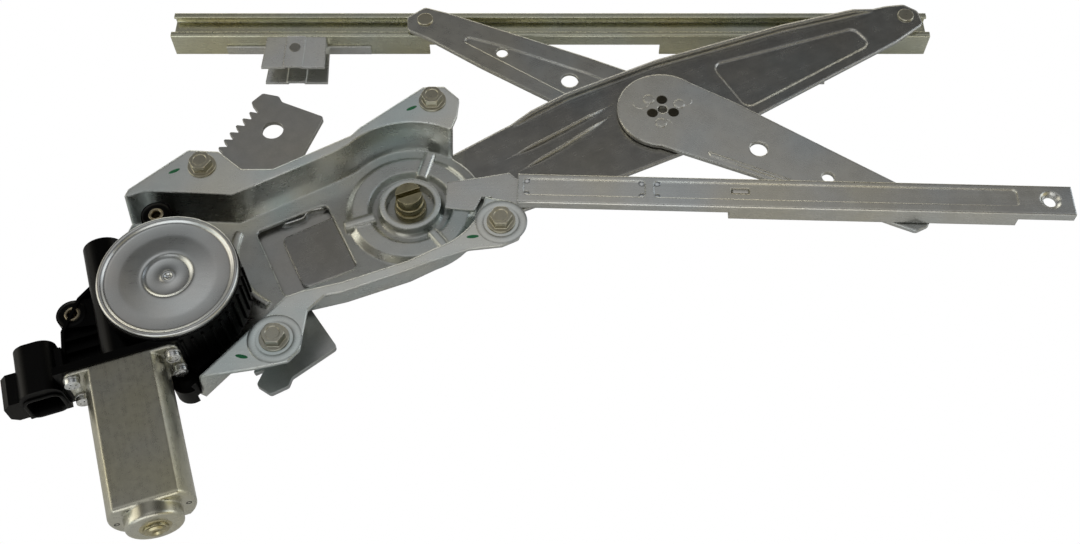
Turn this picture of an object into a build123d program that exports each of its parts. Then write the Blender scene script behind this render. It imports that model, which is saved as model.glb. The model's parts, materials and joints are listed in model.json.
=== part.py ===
from build123d import *
from math import acos, asin, atan2, cos, degrees, hypot, pi, radians, sin, tan
import os

# Cross-arm power window regulator, lying on its back as it would on a bench.
# Millimetres. While it is laid out, the main pivot is at X = Y = 0, +Z points at the viewer
# and the front face of the base plate's floor is at Z = 0. At the end everything moves
# together, so that the origin is at the middle of the underside of the whole part.

# Linkage
ARM_TO_CENTRE = 148.5     # main pivot to the arms' centre pivot
ARM_TO_END = 309.0        # main pivot to the stud that runs in the lift rail
STAY_TO_GUIDE = 139.5     # centre pivot to the stud that runs in the guide rail
ARM_ANGLE = 26.4          # main arm above +X, as it lies
GUIDE_TILT = -1.65        # guide rail against +X

# Sheet metal and levels
PLATE_SHEET = 2.0
ARM_SHEET = 2.5
SECTOR_SHEET = 3.0
RAIL_SHEET = 1.5
EAR_HEIGHT = 20.0         # mounting ears above the floor
PIVOT_GAP = 1.0           # washer between base plate and main arm
LAYER_GAP = 1.0           # between main arm and each half of the stay
RUN_CLEAR = 0.05          # radial clearance of a pin in its hole
PART_CLEAR = 0.3          # clearance between pieces that pass each other

# Gears
GEAR_MODULE = 1.75
PRESSURE_ANGLE = 25.0
SECTOR_FULL_TEETH = 130   # of the full circle that the sector is cut from
SECTOR_TEETH = 33
PINION_TEETH = 11
BACKLASH = 0.30
PINION_DIRECTION = 211.3  # of the pinion, seen from the main pivot
PINION_FACE = 4.6
WHEEL_MODULE = 0.8
WHEEL_TEETH = 60
WHEEL_FACE = 8.0
WORM_RADIUS = 4.7
MOTOR_DIRECTION = -71.2   # of the motor shaft
MOTOR_HEIGHT = 24.0       # of the motor shaft above the floor

# Rails
RAIL_WIDTH = 18.0
LIFT_LEFT = 147.0         # lift rail to the left of its left stud
LIFT_RIGHT = 291.5        # and to the right of it
LIFT_DEPTH = 7.5
LIP_WIDTH = 3.6
LEG_DEPTH = 8.0
GUIDE_LEFT = 55.0         # guide rail's ends, from the main pivot
GUIDE_RIGHT = 337.0
GUIDE_FRONT = 12.0        # its front face above the floor
GUIDE_DEPTH = 5.0
TRACK_LEFT = 163.0        # stretch that holds the slider
TRACK_RIGHT = 309.0
TRACK_DEPTH = 10.4

# Studs, pins and bolts
STUD_RADIUS = 3.5
STUD_HEAD_RADIUS = 4.6
STUD_HEAD_HEIGHT = 1.2
PIVOT_RADIUS = 7.3
PIVOT_TOP = 15.0
PIVOT_HEAD_RADIUS = 11.0
WASHER_RADIUS = 13.0
PIVOT_SLOT = 2.6
PIVOT_SLOT_TURN = 22.0
HUB_RADIUS = 15.0
CENTRE_HOLE_RADIUS = 2.65
BOLT_RADIUS = 3.0         # over the thread's crests
BOLT_SHOULDER_RADIUS = 3.6
BOLT_SHOULDER_LENGTH = 3.4
BOLT_RUNOUT = 1.0         # cone from the shoulder to the thread
BOLT_THREAD_LENGTH = 10.0
BOLT_TIP = 0.6
BOLT_CLEAR = 0.25
BOLT_HEX = 10.0
BOLT_FLANGE_RADIUS = 7.1
BOLT_FLANGE_HEIGHT = 1.3
BOLT_HEAD_HEIGHT = 6.0
RETAINER_RADIUS = 6.0
RETAINER_SHEET = 1.2
RAIL_HOLE_RADIUS = 3.25
RAIL_HOLE_FROM_END = 11.5

# Bolt places on the four ears, from the main pivot
BOLT_PLACES = [(-105.0, 13.0), (10.0, 55.5), (47.3, -20.6), (-57.3, -86.2)]

# Gear housing and motor
POT_RADIUS = 33.0
POT_WALL = 2.5
POT_TOP = MOTOR_HEIGHT + 14.0
POT_FLOOR = MOTOR_HEIGHT - 10.0
COVER_RADIUS = 31.2
COVER_SHEET = 1.0
COVER_TOP = POT_TOP + 3.5
SIDE_TOP = 15.0
SIDE_RIM_TOP = 19.0
SIDE_WALL = 1.6
SIDE_RIBS = (4.0, 10.5, 17.0, 23.5)
LUG_RADIUS = 7.5
INSERT_RADIUS = 4.2
INSERT_BORE = 2.5
LUG_TOP = 18.0
FOOT_PLACE = (-97.6, -103.0)
FOOT_RADIUS = 7.2
FOOT_TOP_LEVEL = 11.0
LUG_PLACES = [(-124.5, -15.0, LUG_TOP), (-155.0, -72.0, LUG_TOP), (-90.5, -93.5, 11.0)]
CAN_WIDTH = 37.5
CAN_THICK = 25.5
CAN_WALL = 1.6
FLANGE_REACH = 13.6       # of the can's flange past both of its sides together
BEARING_RADIUS = 5.5
CAN_START = 33.6          # along the motor shaft, from the point beside the worm wheel
CAN_END = 105.6
BOSS_RADIUS = 12.5
BOSS_END = 112.1
CAN_ROUNDING = 1.8
CONNECTOR_WIDTH = 19.0
CONNECTOR_HEIGHT = 22.0
PIN_SPREAD = 3.5          # of the connector's pins from its middle
PIN_THICK = 1.2

nodes = {}


def polar(radius, angle):
    return (radius * cos(radians(angle)), radius * sin(radians(angle)))


ON_BASE = (Align.CENTER, Align.CENTER, Align.MIN)


def outline(points, radius=0.0):
    face = make_face(Polyline(*points, close=True))
    return fillet(face.vertices(), radius) if radius else face


def slab(face, low, high):
    return Pos(0, 0, low) * extrude(face, amount=high - low)


def disc(centre, radius, low, high):
    return Pos(centre[0], centre[1], low) * extrude(Circle(radius), amount=high - low)


def block(low, high):
    size = [b - a for a, b in zip(low, high)]
    return Pos(*low) * Box(*size, align=(Align.MIN, Align.MIN, Align.MIN))


def along(origin, angle):
    """The place of something laid out along its own X axis, turned to an angle."""
    return Pos(origin[0], origin[1], 0) * Rot(0, 0, angle)


# Places that follow from the driving dimensions
STAY_TO_LIFT = (ARM_TO_END - ARM_TO_CENTRE) * STAY_TO_GUIDE / ARM_TO_CENTRE
STAY_ANGLE = -degrees(asin(ARM_TO_CENTRE * sin(radians(ARM_ANGLE)) / STAY_TO_GUIDE))
CENTRE = polar(ARM_TO_CENTRE, ARM_ANGLE)
ARM_END = polar(ARM_TO_END, ARM_ANGLE)
GUIDE_STUD = tuple(c + d for c, d in zip(CENTRE, polar(STAY_TO_GUIDE, STAY_ANGLE)))
LIFT_STUD = tuple(c + d for c, d in zip(CENTRE, polar(STAY_TO_LIFT, STAY_ANGLE + 180)))

FLOOR_BACK = -PLATE_SHEET
ARM_FRONT = FLOOR_BACK - PIVOT_GAP
ARM_BACK = ARM_FRONT - ARM_SHEET
SECTOR_BACK = ARM_BACK - SECTOR_SHEET
STAY_LOW_BACK = ARM_FRONT + LAYER_GAP
STAY_LOW_FRONT = STAY_LOW_BACK + ARM_SHEET
STAY_UP_FRONT = ARM_BACK - LAYER_GAP
STAY_UP_BACK = STAY_UP_FRONT - ARM_SHEET
LIFT_FRONT = STAY_UP_BACK - STUD_HEAD_HEIGHT
LIFT_BACK = LIFT_FRONT - LIFT_DEPTH

SECTOR_PITCH_RADIUS = GEAR_MODULE * SECTOR_FULL_TEETH / 2
PINION_PITCH_RADIUS = GEAR_MODULE * PINION_TEETH / 2
GEAR_DISTANCE = SECTOR_PITCH_RADIUS + PINION_PITCH_RADIUS
GEAR = polar(GEAR_DISTANCE, PINION_DIRECTION)
WHEEL_RADIUS = WHEEL_MODULE * WHEEL_TEETH / 2
WORM_DISTANCE = WHEEL_RADIUS + WORM_RADIUS
MOTOR_FOOT = tuple(g + d for g, d in zip(GEAR, polar(WORM_DISTANCE, MOTOR_DIRECTION - 90)))
MOTOR = along(MOTOR_FOOT, MOTOR_DIRECTION)


# Gear teeth

def involute(angle):
    return tan(angle) - angle


def tooth(count, centre_angle, tip, root, steps=4):
    """The outline of one gear tooth, from its left root to its right root."""
    pitch = GEAR_MODULE * count / 2
    base = pitch * cos(radians(PRESSURE_ANGLE))
    half = pi / (2 * count) - BACKLASH / (4 * pitch) + involute(radians(PRESSURE_ANGLE))
    start = max(base, root)
    flank = []
    for i in range(steps):
        radius = start + (tip - start) * i / (steps - 1)
        turn = half - involute(acos(min(1.0, base / radius)))
        flank.append((radius, degrees(turn)))
    if root < base:
        flank.insert(0, (root, flank[0][1]))
    left = [polar(radius, centre_angle - turn) for radius, turn in flank]
    right = [polar(radius, centre_angle + turn) for radius, turn in reversed(flank)]
    return left + right


# Base plate: a pressed sheet whose floor is ringed by a raised edge with four ears

FOOT_TOP = [(-175, -12.5), (-138, -8.5), (-131, -5.5), (-87, -8), (-68.5, 2.2), (-38, 19), (-29.5, 24.7)]
FOOT_LOW = [
    (13.8, -33), (1, -40.2), (-29.5, -52), (-49, -57.3), (-56.7, -60.6), (-92.2, -103.6), (-111, -126),
    (-175, -126),
]
DISH_RADIUS = 38.5
EAR_RADIUS = 36.0         # foot of the wall below the right ear
WALL_RUN = 3.5            # how far the wall leans out over its height
pan_face = make_face(
    [
        Polyline(*FOOT_TOP),
        ThreePointArc(FOOT_TOP[-1], polar(DISH_RADIUS, 95), polar(DISH_RADIUS, 62)),
        Polyline(polar(DISH_RADIUS, 62), (75, 41), (75, 1), polar(EAR_RADIUS, -4)),
        ThreePointArc(polar(EAR_RADIUS, -4), polar(EAR_RADIUS, -35), FOOT_LOW[0]),
        Polyline(*FOOT_LOW),
        Line(FOOT_LOW[-1], FOOT_TOP[0]),
    ]
)


def pan(grow, low):
    """The pan as a solid that widens upwards, from the floor to the top of the ears."""
    foot = offset(pan_face, grow, kind=Kind.INTERSECTION) if grow else pan_face
    top = offset(pan_face, grow + WALL_RUN, kind=Kind.INTERSECTION)
    return loft([Pos(0, 0, low) * foot, Pos(0, 0, EAR_HEIGHT) * top], ruled=True)


edge_points = [
    (-140, -1), (-113.5, 23.5), (-98, 22.5), (-85, 11.5), (-69, 11.5), (-31, 33), (-27, 38), (4.5, 65),
    (15.8, 65.5), (24, 57), (23.2, 46), (19.5, 34), (36, 14), (38.5, 0), (39.5, -6), (50, -8), (57, -13),
    (59.5, -21), (56, -30.5), (48, -34.5), (32, -36.5), (12.8, -43.8), (2.5, -48.5), (-29, -61),
    (-36, -62.5), (-43.5, -71), (-45, -92), (-50, -98), (-64, -101.5), (-90, -106), (-105, -99),
    (-158, -80), (-162.5, -72), (-158, -62),
]
edge_face = outline(edge_points, 2.0) + Circle(DISH_RADIUS)
plateau = slab(edge_face, EAR_HEIGHT - PLATE_SHEET, EAR_HEIGHT)
plate = (pan(PLATE_SHEET, FLOOR_BACK) + plateau - pan(0, 0)) & slab(edge_face, FLOOR_BACK, EAR_HEIGHT)

COLLAR_RADIUS = 15.7
COLLAR_BORE = 12.5
COLLAR_TOP = 6.0
RING_TOP = 3.0
dish_profile = [
    (DISH_RADIUS - 3, 0), (DISH_RADIUS - 5, 0), (30, RING_TOP), (22, RING_TOP), (20, 0),
    (COLLAR_RADIUS + 1.5, 0), (COLLAR_RADIUS, 1.5), (COLLAR_RADIUS, COLLAR_TOP),
    (COLLAR_BORE, COLLAR_TOP), (COLLAR_BORE, 0),
    (PIVOT_RADIUS, 0), (PIVOT_RADIUS, FLOOR_BACK), (COLLAR_RADIUS, FLOOR_BACK), (20.5, FLOOR_BACK),
    (23, RING_TOP - PLATE_SHEET), (29.5, RING_TOP - PLATE_SHEET), (DISH_RADIUS - 5.5, FLOOR_BACK),
    (DISH_RADIUS - 3, FLOOR_BACK),
]
dish = revolve(make_face(Plane.XZ * Polyline(*dish_profile, close=True)), Axis.Z)
plate = plate - disc((0, 0), DISH_RADIUS - 3, FLOOR_BACK - 1, 1) + dish
for rib_angle in (76, 200, -52):
    rib = block((19.0, -3.0, FLOOR_BACK), (35.0, 3.0, RING_TOP + 1.2))
    rib = fillet(rib.edges().filter_by(Axis.X).group_by(Axis.Z)[-1], 2.0)
    plate = plate + Rot(0, 0, rib_angle) * rib

WINDOW = (-51.7, -24.2)
WINDOW_SIZE = (38.5, 43.0)
WINDOW_ANGLE = 26.5
WINDOW_CORNER = 3.0
window = along(WINDOW, WINDOW_ANGLE) * slab(RectangleRounded(*WINDOW_SIZE, WINDOW_CORNER), FLOOR_BACK - 1, 1)
plate = plate - window

BEAD_HEIGHT = 2.0
BEAD_HALF_WIDTH = 2.2
bead_path = ThreePointArc((-86.5, -14.5), (-85.0, -37.0), (-67.0, -57.0))
bead = sweep(Plane(bead_path @ 0, x_dir=(1, 0, 0), z_dir=bead_path % 0) * Circle(BEAD_HALF_WIDTH), bead_path)
plate = plate + (bead & block((-120, -80, -0.5), (-50, 0, BEAD_HEIGHT)))

PINION_HOLE = 13.0
plate = plate - disc(GEAR, PINION_HOLE, FLOOR_BACK - 1, 1)
for place in LUG_PLACES:
    plate = plate - disc(place, INSERT_BORE + BOLT_CLEAR, FLOOR_BACK - 1, 1)
for place in BOLT_PLACES:
    hole_radius = BOLT_SHOULDER_RADIUS + BOLT_CLEAR
    plate = plate - disc(place, hole_radius, EAR_HEIGHT - PLATE_SHEET - 1, EAR_HEIGHT + 1)
nodes["base_plate"] = plate


# Captive bolts through the ears, each kept by a push-on ring behind its ear

def hex_prism(size, low, high):
    return slab(RegularPolygon(size / 2, 6, major_radius=False), low, high)


bolt = hex_prism(BOLT_HEX, BOLT_FLANGE_HEIGHT, BOLT_HEAD_HEIGHT)
bolt = bolt & Cone(9.0, 4.4, 7.4, align=ON_BASE)
bolt = bolt + disc((0, 0), BOLT_FLANGE_RADIUS, 0, BOLT_FLANGE_HEIGHT)
bolt = bolt - disc((0, 0), 3.4, BOLT_HEAD_HEIGHT - 0.5, BOLT_HEAD_HEIGHT + 1)
THREAD_TOP = -BOLT_SHOULDER_LENGTH - BOLT_RUNOUT
THREAD_END = THREAD_TOP - BOLT_THREAD_LENGTH
shank_profile = [
    (0, 0), (BOLT_SHOULDER_RADIUS, 0), (BOLT_SHOULDER_RADIUS, -BOLT_SHOULDER_LENGTH),
    (BOLT_RADIUS, THREAD_TOP), (BOLT_RADIUS, THREAD_END),
    (BOLT_RADIUS - BOLT_TIP, THREAD_END - BOLT_TIP), (0, THREAD_END - BOLT_TIP),
]
bolt = bolt + revolve(make_face(Plane.XZ * Polyline(*shank_profile, close=True)), Axis.Z)
retainer_front = -PLATE_SHEET - 0.1
retainer = disc((0, 0), RETAINER_RADIUS, retainer_front - RETAINER_SHEET, retainer_front)
retainer = retainer - disc((0, 0), BOLT_SHOULDER_RADIUS, -BOLT_SHOULDER_LENGTH - 1, 0)
nodes["ear_bolts"] = Compound(children=[Pos(x, y, EAR_HEIGHT) * bolt for x, y in BOLT_PLACES])
nodes["bolt_retainers"] = Compound(children=[Pos(x, y, EAR_HEIGHT) * retainer for x, y in BOLT_PLACES])

# Main pivot: a slotted pin held in the base plate, which the main arm and the sector turn on

PIN_FOOT = SECTOR_BACK - PART_CLEAR
PIVOT_STEP = PIVOT_TOP - 6.5
pin = disc((0, 0), PIVOT_RADIUS, PIN_FOOT, PIVOT_STEP)
pin = pin + disc((0, 0), PIVOT_RADIUS - 0.6, PIVOT_STEP, PIVOT_TOP)
pin = pin + disc((0, 0), PIVOT_RADIUS + 0.9, 0, 4.0)
pin = pin + disc((0, 0), PIVOT_HEAD_RADIUS, PIN_FOOT - 2.2, PIN_FOOT)
slot = block((-20, -PIVOT_SLOT / 2, PIVOT_TOP - 5), (20, PIVOT_SLOT / 2, PIVOT_TOP + 1))
pin = pin - Rot(0, 0, PIVOT_SLOT_TURN) * slot
nodes["main_pivot_pin"] = pin
washer = disc((0, 0), WASHER_RADIUS, ARM_FRONT + RUN_CLEAR, FLOOR_BACK)
nodes["pivot_washer"] = washer - disc((0, 0), PIVOT_RADIUS, -20, 20)

# Main arm, laid out along its own X axis

ARM_OUTLINE = [
    (-66, -18), (-66, 15), (-20, 16.5), (20, 23), (64, 28.8), (107, 33.4), (162, 32.4), (178, 30.5),
    (239, 23.4), (303, 11.5), (313, 8), (317.5, 0), (314.5, -9.5), (293, -14), (267, -16.5), (196, -24),
    (148, -28.5),
    (107, -27.5), (60, -24), (0, -21),
]
PANEL = [(190, 18), (277, 5.5), (279, -9), (192, -17.5)]
PANEL_DEPTH = 0.8
ARM_BEADS = [
    ([(42, 3), (42, 13.5), (124, 6.5), (124, 3)], 1.6, 1.4),
    ([(48, -15), (48, -9.5), (112, -12.2), (112, -14.6)], 1.0, 1.0),
]
BEAD_TAPER = 38.0
FLANGE_START = 84.0
FLANGE_END = 282.0
FLANGE_RAMP = 22.0
FLANGE_HEIGHT = 3.6


def rim_of(face, width, low, high, region):
    """A strip along the edge of a sheet, where the region covers it."""
    strip = slab(face - offset(face, -width, kind=Kind.INTERSECTION), low, high)
    return strip & region


def embossed(sheet, points, front, back, radius):
    """Presses a panel back into a sheet."""
    hollow = slab(outline(points, radius), front - PANEL_DEPTH, front + 1)
    bulge = slab(offset(outline(points, radius), 0.8), back - PANEL_DEPTH, back)
    return sheet + bulge - hollow


arm_face = outline(ARM_OUTLINE, 4.0)
arm = slab(arm_face, ARM_BACK, ARM_FRONT)
arm = embossed(arm, PANEL, ARM_FRONT, ARM_BACK, 5.0)
flange_top = ARM_FRONT + FLANGE_HEIGHT
flange_side = [
    (FLANGE_START - FLANGE_RAMP, ARM_BACK), (FLANGE_START, flange_top), (FLANGE_END, flange_top),
    (FLANGE_END + FLANGE_RAMP, ARM_BACK),
]
flange_zone = Rot(90, 0, 0) * extrude(outline(flange_side), amount=-60)
for points, rise, radius in ARM_BEADS:
    arm = arm + Pos(0, 0, ARM_FRONT) * extrude(outline(points, radius), amount=rise, taper=BEAD_TAPER)
    arm = arm - Pos(0, 0, ARM_BACK) * extrude(outline(points, radius), amount=rise - 0.2, taper=BEAD_TAPER)
arm = arm + rim_of(arm_face, 2.0, ARM_BACK, flange_top, flange_zone)
arm = arm - disc((0, 0), PIVOT_RADIUS + RUN_CLEAR, -20, 20)
arm = arm - disc((ARM_TO_CENTRE, 0), HUB_RADIUS + RUN_CLEAR, -20, 20)
arm = arm - disc((ARM_TO_END, 0), STUD_RADIUS, -20, 20)
RIVET_RADIUS = 3.0
RIVET_PLACES = [(-33, -9), (-33, 9), (-19, -15), (-19, 13)]
for x, y in RIVET_PLACES:
    arm = arm - disc((x, y), RIVET_RADIUS, -20, 20)
on_arm = along((0, 0), ARM_ANGLE)
nodes["main_arm"] = on_arm * arm

# Toothed sector, riveted behind the main arm's tail

SECTOR_MIDDLE = PINION_DIRECTION - (int(SECTOR_TEETH / 4) + 0.5) * 360 / SECTOR_FULL_TEETH
SECTOR_TIP = SECTOR_PITCH_RADIUS + 0.9 * GEAR_MODULE
SECTOR_ROOT = SECTOR_PITCH_RADIUS - 1.2 * GEAR_MODULE
PINION_TIP = PINION_PITCH_RADIUS + GEAR_MODULE
PINION_ROOT = PINION_PITCH_RADIUS - 1.2 * GEAR_MODULE
TOOTH_STEP = 360 / SECTOR_FULL_TEETH
TOOTHED_HALF = SECTOR_TEETH * TOOTH_STEP / 2
NOSE_RISE = 4.2
HORN_RADIUS = 83.5
WAIST_RADIUS = 72.0
SECTOR_HUB_RADIUS = 24.0
SECTOR_HOLE_RADIUS = 5.8
SECTOR_HOLE_AT = 96.9
SECTOR_HOLE_ANGLE = 43.4


def sector_end(side):
    """The nose past the last tooth and the edge that runs in from it."""
    half = TOOTHED_HALF
    tip = SECTOR_PITCH_RADIUS + GEAR_MODULE + NOSE_RISE
    steps = [
        (SECTOR_ROOT, half), (tip, half + 1.2), (tip, half + 5.4), (tip - 8, half + 7.8),
        (tip - 12.5, half + 7.2), (HORN_RADIUS, half + 13.8), (WAIST_RADIUS, half - 6.9), (40, half - 2),
        (SECTOR_HUB_RADIUS, half + 35),
    ]
    return [polar(radius, SECTOR_MIDDLE + side * angle) for radius, angle in steps]


teeth = []
for i in range(SECTOR_TEETH):
    centre_angle = SECTOR_MIDDLE + (i - (SECTOR_TEETH - 1) / 2) * TOOTH_STEP
    teeth += tooth(SECTOR_FULL_TEETH, centre_angle, SECTOR_TIP, SECTOR_ROOT, 3)
sector_points = list(reversed(sector_end(-1))) + teeth + sector_end(1)
sector = slab(outline(sector_points), SECTOR_BACK, ARM_BACK)
sector = sector + disc((0, 0), SECTOR_HUB_RADIUS, SECTOR_BACK, ARM_BACK)
round_edges = [
    edge for edge in sector.edges().filter_by(Axis.Z)
    if any(hypot(edge.center().X - x, edge.center().Y - y) < 0.5
           for side in (-1, 1) for x, y in sector_end(side)[1:7])
]
sector = fillet(round_edges, 2.0)
for side in (-1, 1):
    hole = polar(SECTOR_HOLE_AT, SECTOR_MIDDLE + side * SECTOR_HOLE_ANGLE)
    sector = sector - disc(hole, SECTOR_HOLE_RADIUS, -20, 20)
sector = sector - disc((0, 0), PIVOT_RADIUS + RUN_CLEAR, -20, 20)
rivet = disc((0, 0), RIVET_RADIUS, SECTOR_BACK, ARM_FRONT)
rivet = rivet + disc((0, 0), 5.0, SECTOR_BACK - 0.6, SECTOR_BACK)
rivet = rivet + disc((0, 0), 4.6, ARM_FRONT, ARM_FRONT + 0.6)
rivets = []
for x, y in RIVET_PLACES:
    place = on_arm * Pos(x, y, 0)
    sector = sector - place * disc((0, 0), RIVET_RADIUS, -20, 20)
    rivets.append(place * rivet)
nodes["sector_gear"] = sector
nodes["sector_rivets"] = Compound(children=rivets)

# Stay arm: two halves, in front of and behind the main arm, joined by a hub through it

HUB_FACE = 24.6
STAY_LOWER = [
    (0, -23.5), (34, -19.8), (73, -15.9), (136, -11.5), (148, -10.5), (152.5, -4), (150, 7), (143, 11.5),
    (133, 13), (33, 23), (0, 24.3),
]
STAY_UPPER = [
    (0, -22), (30, -21), (56, -19.3), (142, -11), (156, -8.5), (161, 3), (156, 11), (143, 11), (105, 15),
    (29, 20.2), (0, 22),
]
STAY_PANEL = [(38, 11.5), (123, 3.5), (123, -0.5), (103, -4), (50, -9), (38, -9)]
STAY_BEADS = [
    [(33, 17.6), (36, 20), (128, 9.6), (125, 7.6)],
    [(33, -14.6), (36, -17), (128, -9.2), (125, -7.4)],
]
STAY_BEAD_RISE = 0.7
STAY_HOLES = [(56.7, 4.8), (96.0, 3.3)]
HUB_RIVETS = [(-9.5, 2.5), (6.5, 7.5), (3.5, -9.0)]
HUB_RIVET_RADIUS = 2.2

lower = slab(outline(STAY_LOWER, 3.0), STAY_LOW_BACK, STAY_LOW_FRONT)
lower = lower + disc((0, 0), HUB_FACE, STAY_LOW_BACK, STAY_LOW_FRONT)
for points in STAY_BEADS:
    ridge = extrude(outline(points, 0.6), amount=STAY_BEAD_RISE, taper=BEAD_TAPER)
    lower = lower + Pos(0, 0, STAY_LOW_FRONT) * ridge
upper = slab(outline(STAY_UPPER, 3.0), STAY_UP_BACK, STAY_UP_FRONT)
upper = upper + disc((0, 0), 22.0, STAY_UP_BACK, STAY_UP_FRONT)
upper = embossed(upper, STAY_PANEL, STAY_UP_FRONT, STAY_UP_BACK + PANEL_DEPTH, 2.0)
hub = disc((0, 0), HUB_RADIUS, STAY_UP_FRONT, STAY_LOW_BACK)
for x, radius in STAY_HOLES:
    lower = lower - disc((x, 0), radius, -20, 20)
    upper = upper - disc((x + (4.0 if radius < 4 else 0.0), 0), radius, -20, 20)
lower = lower - disc((STAY_TO_GUIDE, 0), STUD_RADIUS, -20, 20)
upper = upper - disc((STAY_TO_LIFT, 0), STUD_RADIUS, -20, 20)
hub_rivet = disc((0, 0), HUB_RIVET_RADIUS, STAY_UP_BACK, STAY_LOW_FRONT)
hub_rivet = hub_rivet + disc((0, 0), HUB_RIVET_RADIUS + 1.0, STAY_LOW_FRONT, STAY_LOW_FRONT + 0.5)
hub_rivet = hub_rivet + disc((0, 0), HUB_RIVET_RADIUS + 1.2, STAY_UP_BACK - 0.6, STAY_UP_BACK)
for x, y in HUB_RIVETS:
    lower = lower - disc((x, y), HUB_RIVET_RADIUS, -20, 20)
    upper = upper - disc((-x, -y), HUB_RIVET_RADIUS, -20, 20)
    hub = hub - disc((x, y), HUB_RIVET_RADIUS, -20, 20)
lower = lower - disc((0, 0), CENTRE_HOLE_RADIUS, -20, 20)
upper = upper - disc((0, 0), CENTRE_HOLE_RADIUS, -20, 20)
hub = hub - disc((0, 0), CENTRE_HOLE_RADIUS, -20, 20)
on_lower = along(CENTRE, STAY_ANGLE)
on_upper = along(CENTRE, STAY_ANGLE + 180)
nodes["stay_arm_lower"] = on_lower * lower
nodes["stay_arm_upper"] = on_upper * upper
nodes["stay_hub"] = on_lower * hub
nodes["stay_rivets"] = Compound(children=[on_lower * Pos(x, y, 0) * hub_rivet for x, y in HUB_RIVETS])

# Nylon sliders, studs and the lift rail, which is open to the front

SLIDER_LENGTH = 16.0
SLIDER_WIDTH = 12.0
SLOT_HALF = RAIL_WIDTH / 2 - LIP_WIDTH
LIFT_SLIDER_FRONT = LIFT_FRONT - RAIL_SHEET - PART_CLEAR
LIFT_SLIDER_BACK = LIFT_BACK + RAIL_SHEET + PART_CLEAR


def slider(low, high):
    body = slab(RectangleRounded(SLIDER_LENGTH, SLIDER_WIDTH, 3.0), low, high)
    return body - disc((0, 0), STUD_RADIUS + RUN_CLEAR, low - 1, high + 1)


def stud(sheet_front, sheet_back, tip, forward):
    """A stud staked through a sheet, that ends in a slider on one side of it."""
    face = sheet_back if forward else sheet_front
    head_far = face - STUD_HEAD_HEIGHT if forward else face + STUD_HEAD_HEIGHT
    low, high = sorted((tip, face))
    head_low, head_high = sorted((face, head_far))
    return disc((0, 0), STUD_RADIUS, low, high) + disc((0, 0), STUD_HEAD_RADIUS, head_low, head_high)


nodes["lift_slider_left"] = Pos(*LIFT_STUD, 0) * slider(LIFT_SLIDER_BACK, LIFT_SLIDER_FRONT)
nodes["lift_slider_right"] = Pos(*ARM_END, 0) * slider(LIFT_SLIDER_BACK, LIFT_SLIDER_FRONT)
nodes["main_arm_stud"] = Pos(*ARM_END, 0) * stud(ARM_FRONT, ARM_BACK, LIFT_SLIDER_BACK, False)
nodes["stay_upper_stud"] = Pos(*LIFT_STUD, 0) * stud(STAY_UP_FRONT, STAY_UP_BACK, LIFT_SLIDER_BACK, False)


def channel(front, back, sheet, lips_at_front, start, end):
    """A rail along X with two side walls, a web and inward lips opposite the web."""
    half = RAIL_WIDTH / 2
    body = block((start, -half, back), (end, half, front))
    if lips_at_front:
        body = body - block((start - 1, -half + sheet, back + sheet), (end + 1, half - sheet, front - sheet))
        return body - block((start - 1, -SLOT_HALF, front - sheet - 1), (end + 1, SLOT_HALF, front + 1))
    body = body - block((start - 1, -half + sheet, back + sheet), (end + 1, half - sheet, front - sheet))
    return body - block((start - 1, -SLOT_HALF, back - 1), (end + 1, SLOT_HALF, back + sheet + 1))


LEG_GAP = (2.0, 136.0)    # stretch of the lift rail without a rear leg
rail = channel(LIFT_FRONT, LIFT_BACK, RAIL_SHEET, True, -LIFT_LEFT, LIFT_RIGHT)
rail_edges = rail.edges().filter_by(Axis.X).group_by(Axis.Z)[-1]
rail = fillet(rail_edges.sort_by(Axis.Y)[0], 1.2)
LEG_TOP = LIFT_BACK
for start, end in ((-LIFT_LEFT, LEG_GAP[0]), (LEG_GAP[1], LIFT_RIGHT)):
    leg_face = -RAIL_WIDTH / 2
    rail = rail + block((start, leg_face, LEG_TOP - LEG_DEPTH), (end, leg_face + RAIL_SHEET, LEG_TOP))
nodes["lift_rail"] = Pos(*LIFT_STUD, 0) * rail

# Glass clamps under the lift rail: a front plate, a back plate and the foot that carries them

CLAMP_PLACES = (-74.0, 212.4)
CLAMP_WIDTH = 36.0
CLAMP_DROP = 23.0
CLAMP_SHEET = 1.5
FOOT_LENGTH = 84.0
CLAMP_RIB = 11.0
clamp_top = -RAIL_WIDTH / 2
leg_back = LEG_TOP - LEG_DEPTH


def clamp_plate(front):
    plate_face = outline(
        [(-CLAMP_WIDTH / 2 + 1, clamp_top), (-CLAMP_WIDTH / 2, clamp_top - CLAMP_DROP),
         (CLAMP_WIDTH / 2, clamp_top - CLAMP_DROP), (CLAMP_WIDTH / 2 - 1, clamp_top)])
    sheet = slab(plate_face, front - CLAMP_SHEET, front)
    swage = block((-CLAMP_RIB / 2, clamp_top - CLAMP_DROP, front), (CLAMP_RIB / 2, clamp_top, front + 0.8))
    groove = block((-CLAMP_RIB / 2 + 1, clamp_top - CLAMP_DROP - 1, front - CLAMP_SHEET - 1),
                   (CLAMP_RIB / 2 - 1, clamp_top, front - CLAMP_SHEET + 0.8))
    return sheet + swage - groove


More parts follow.
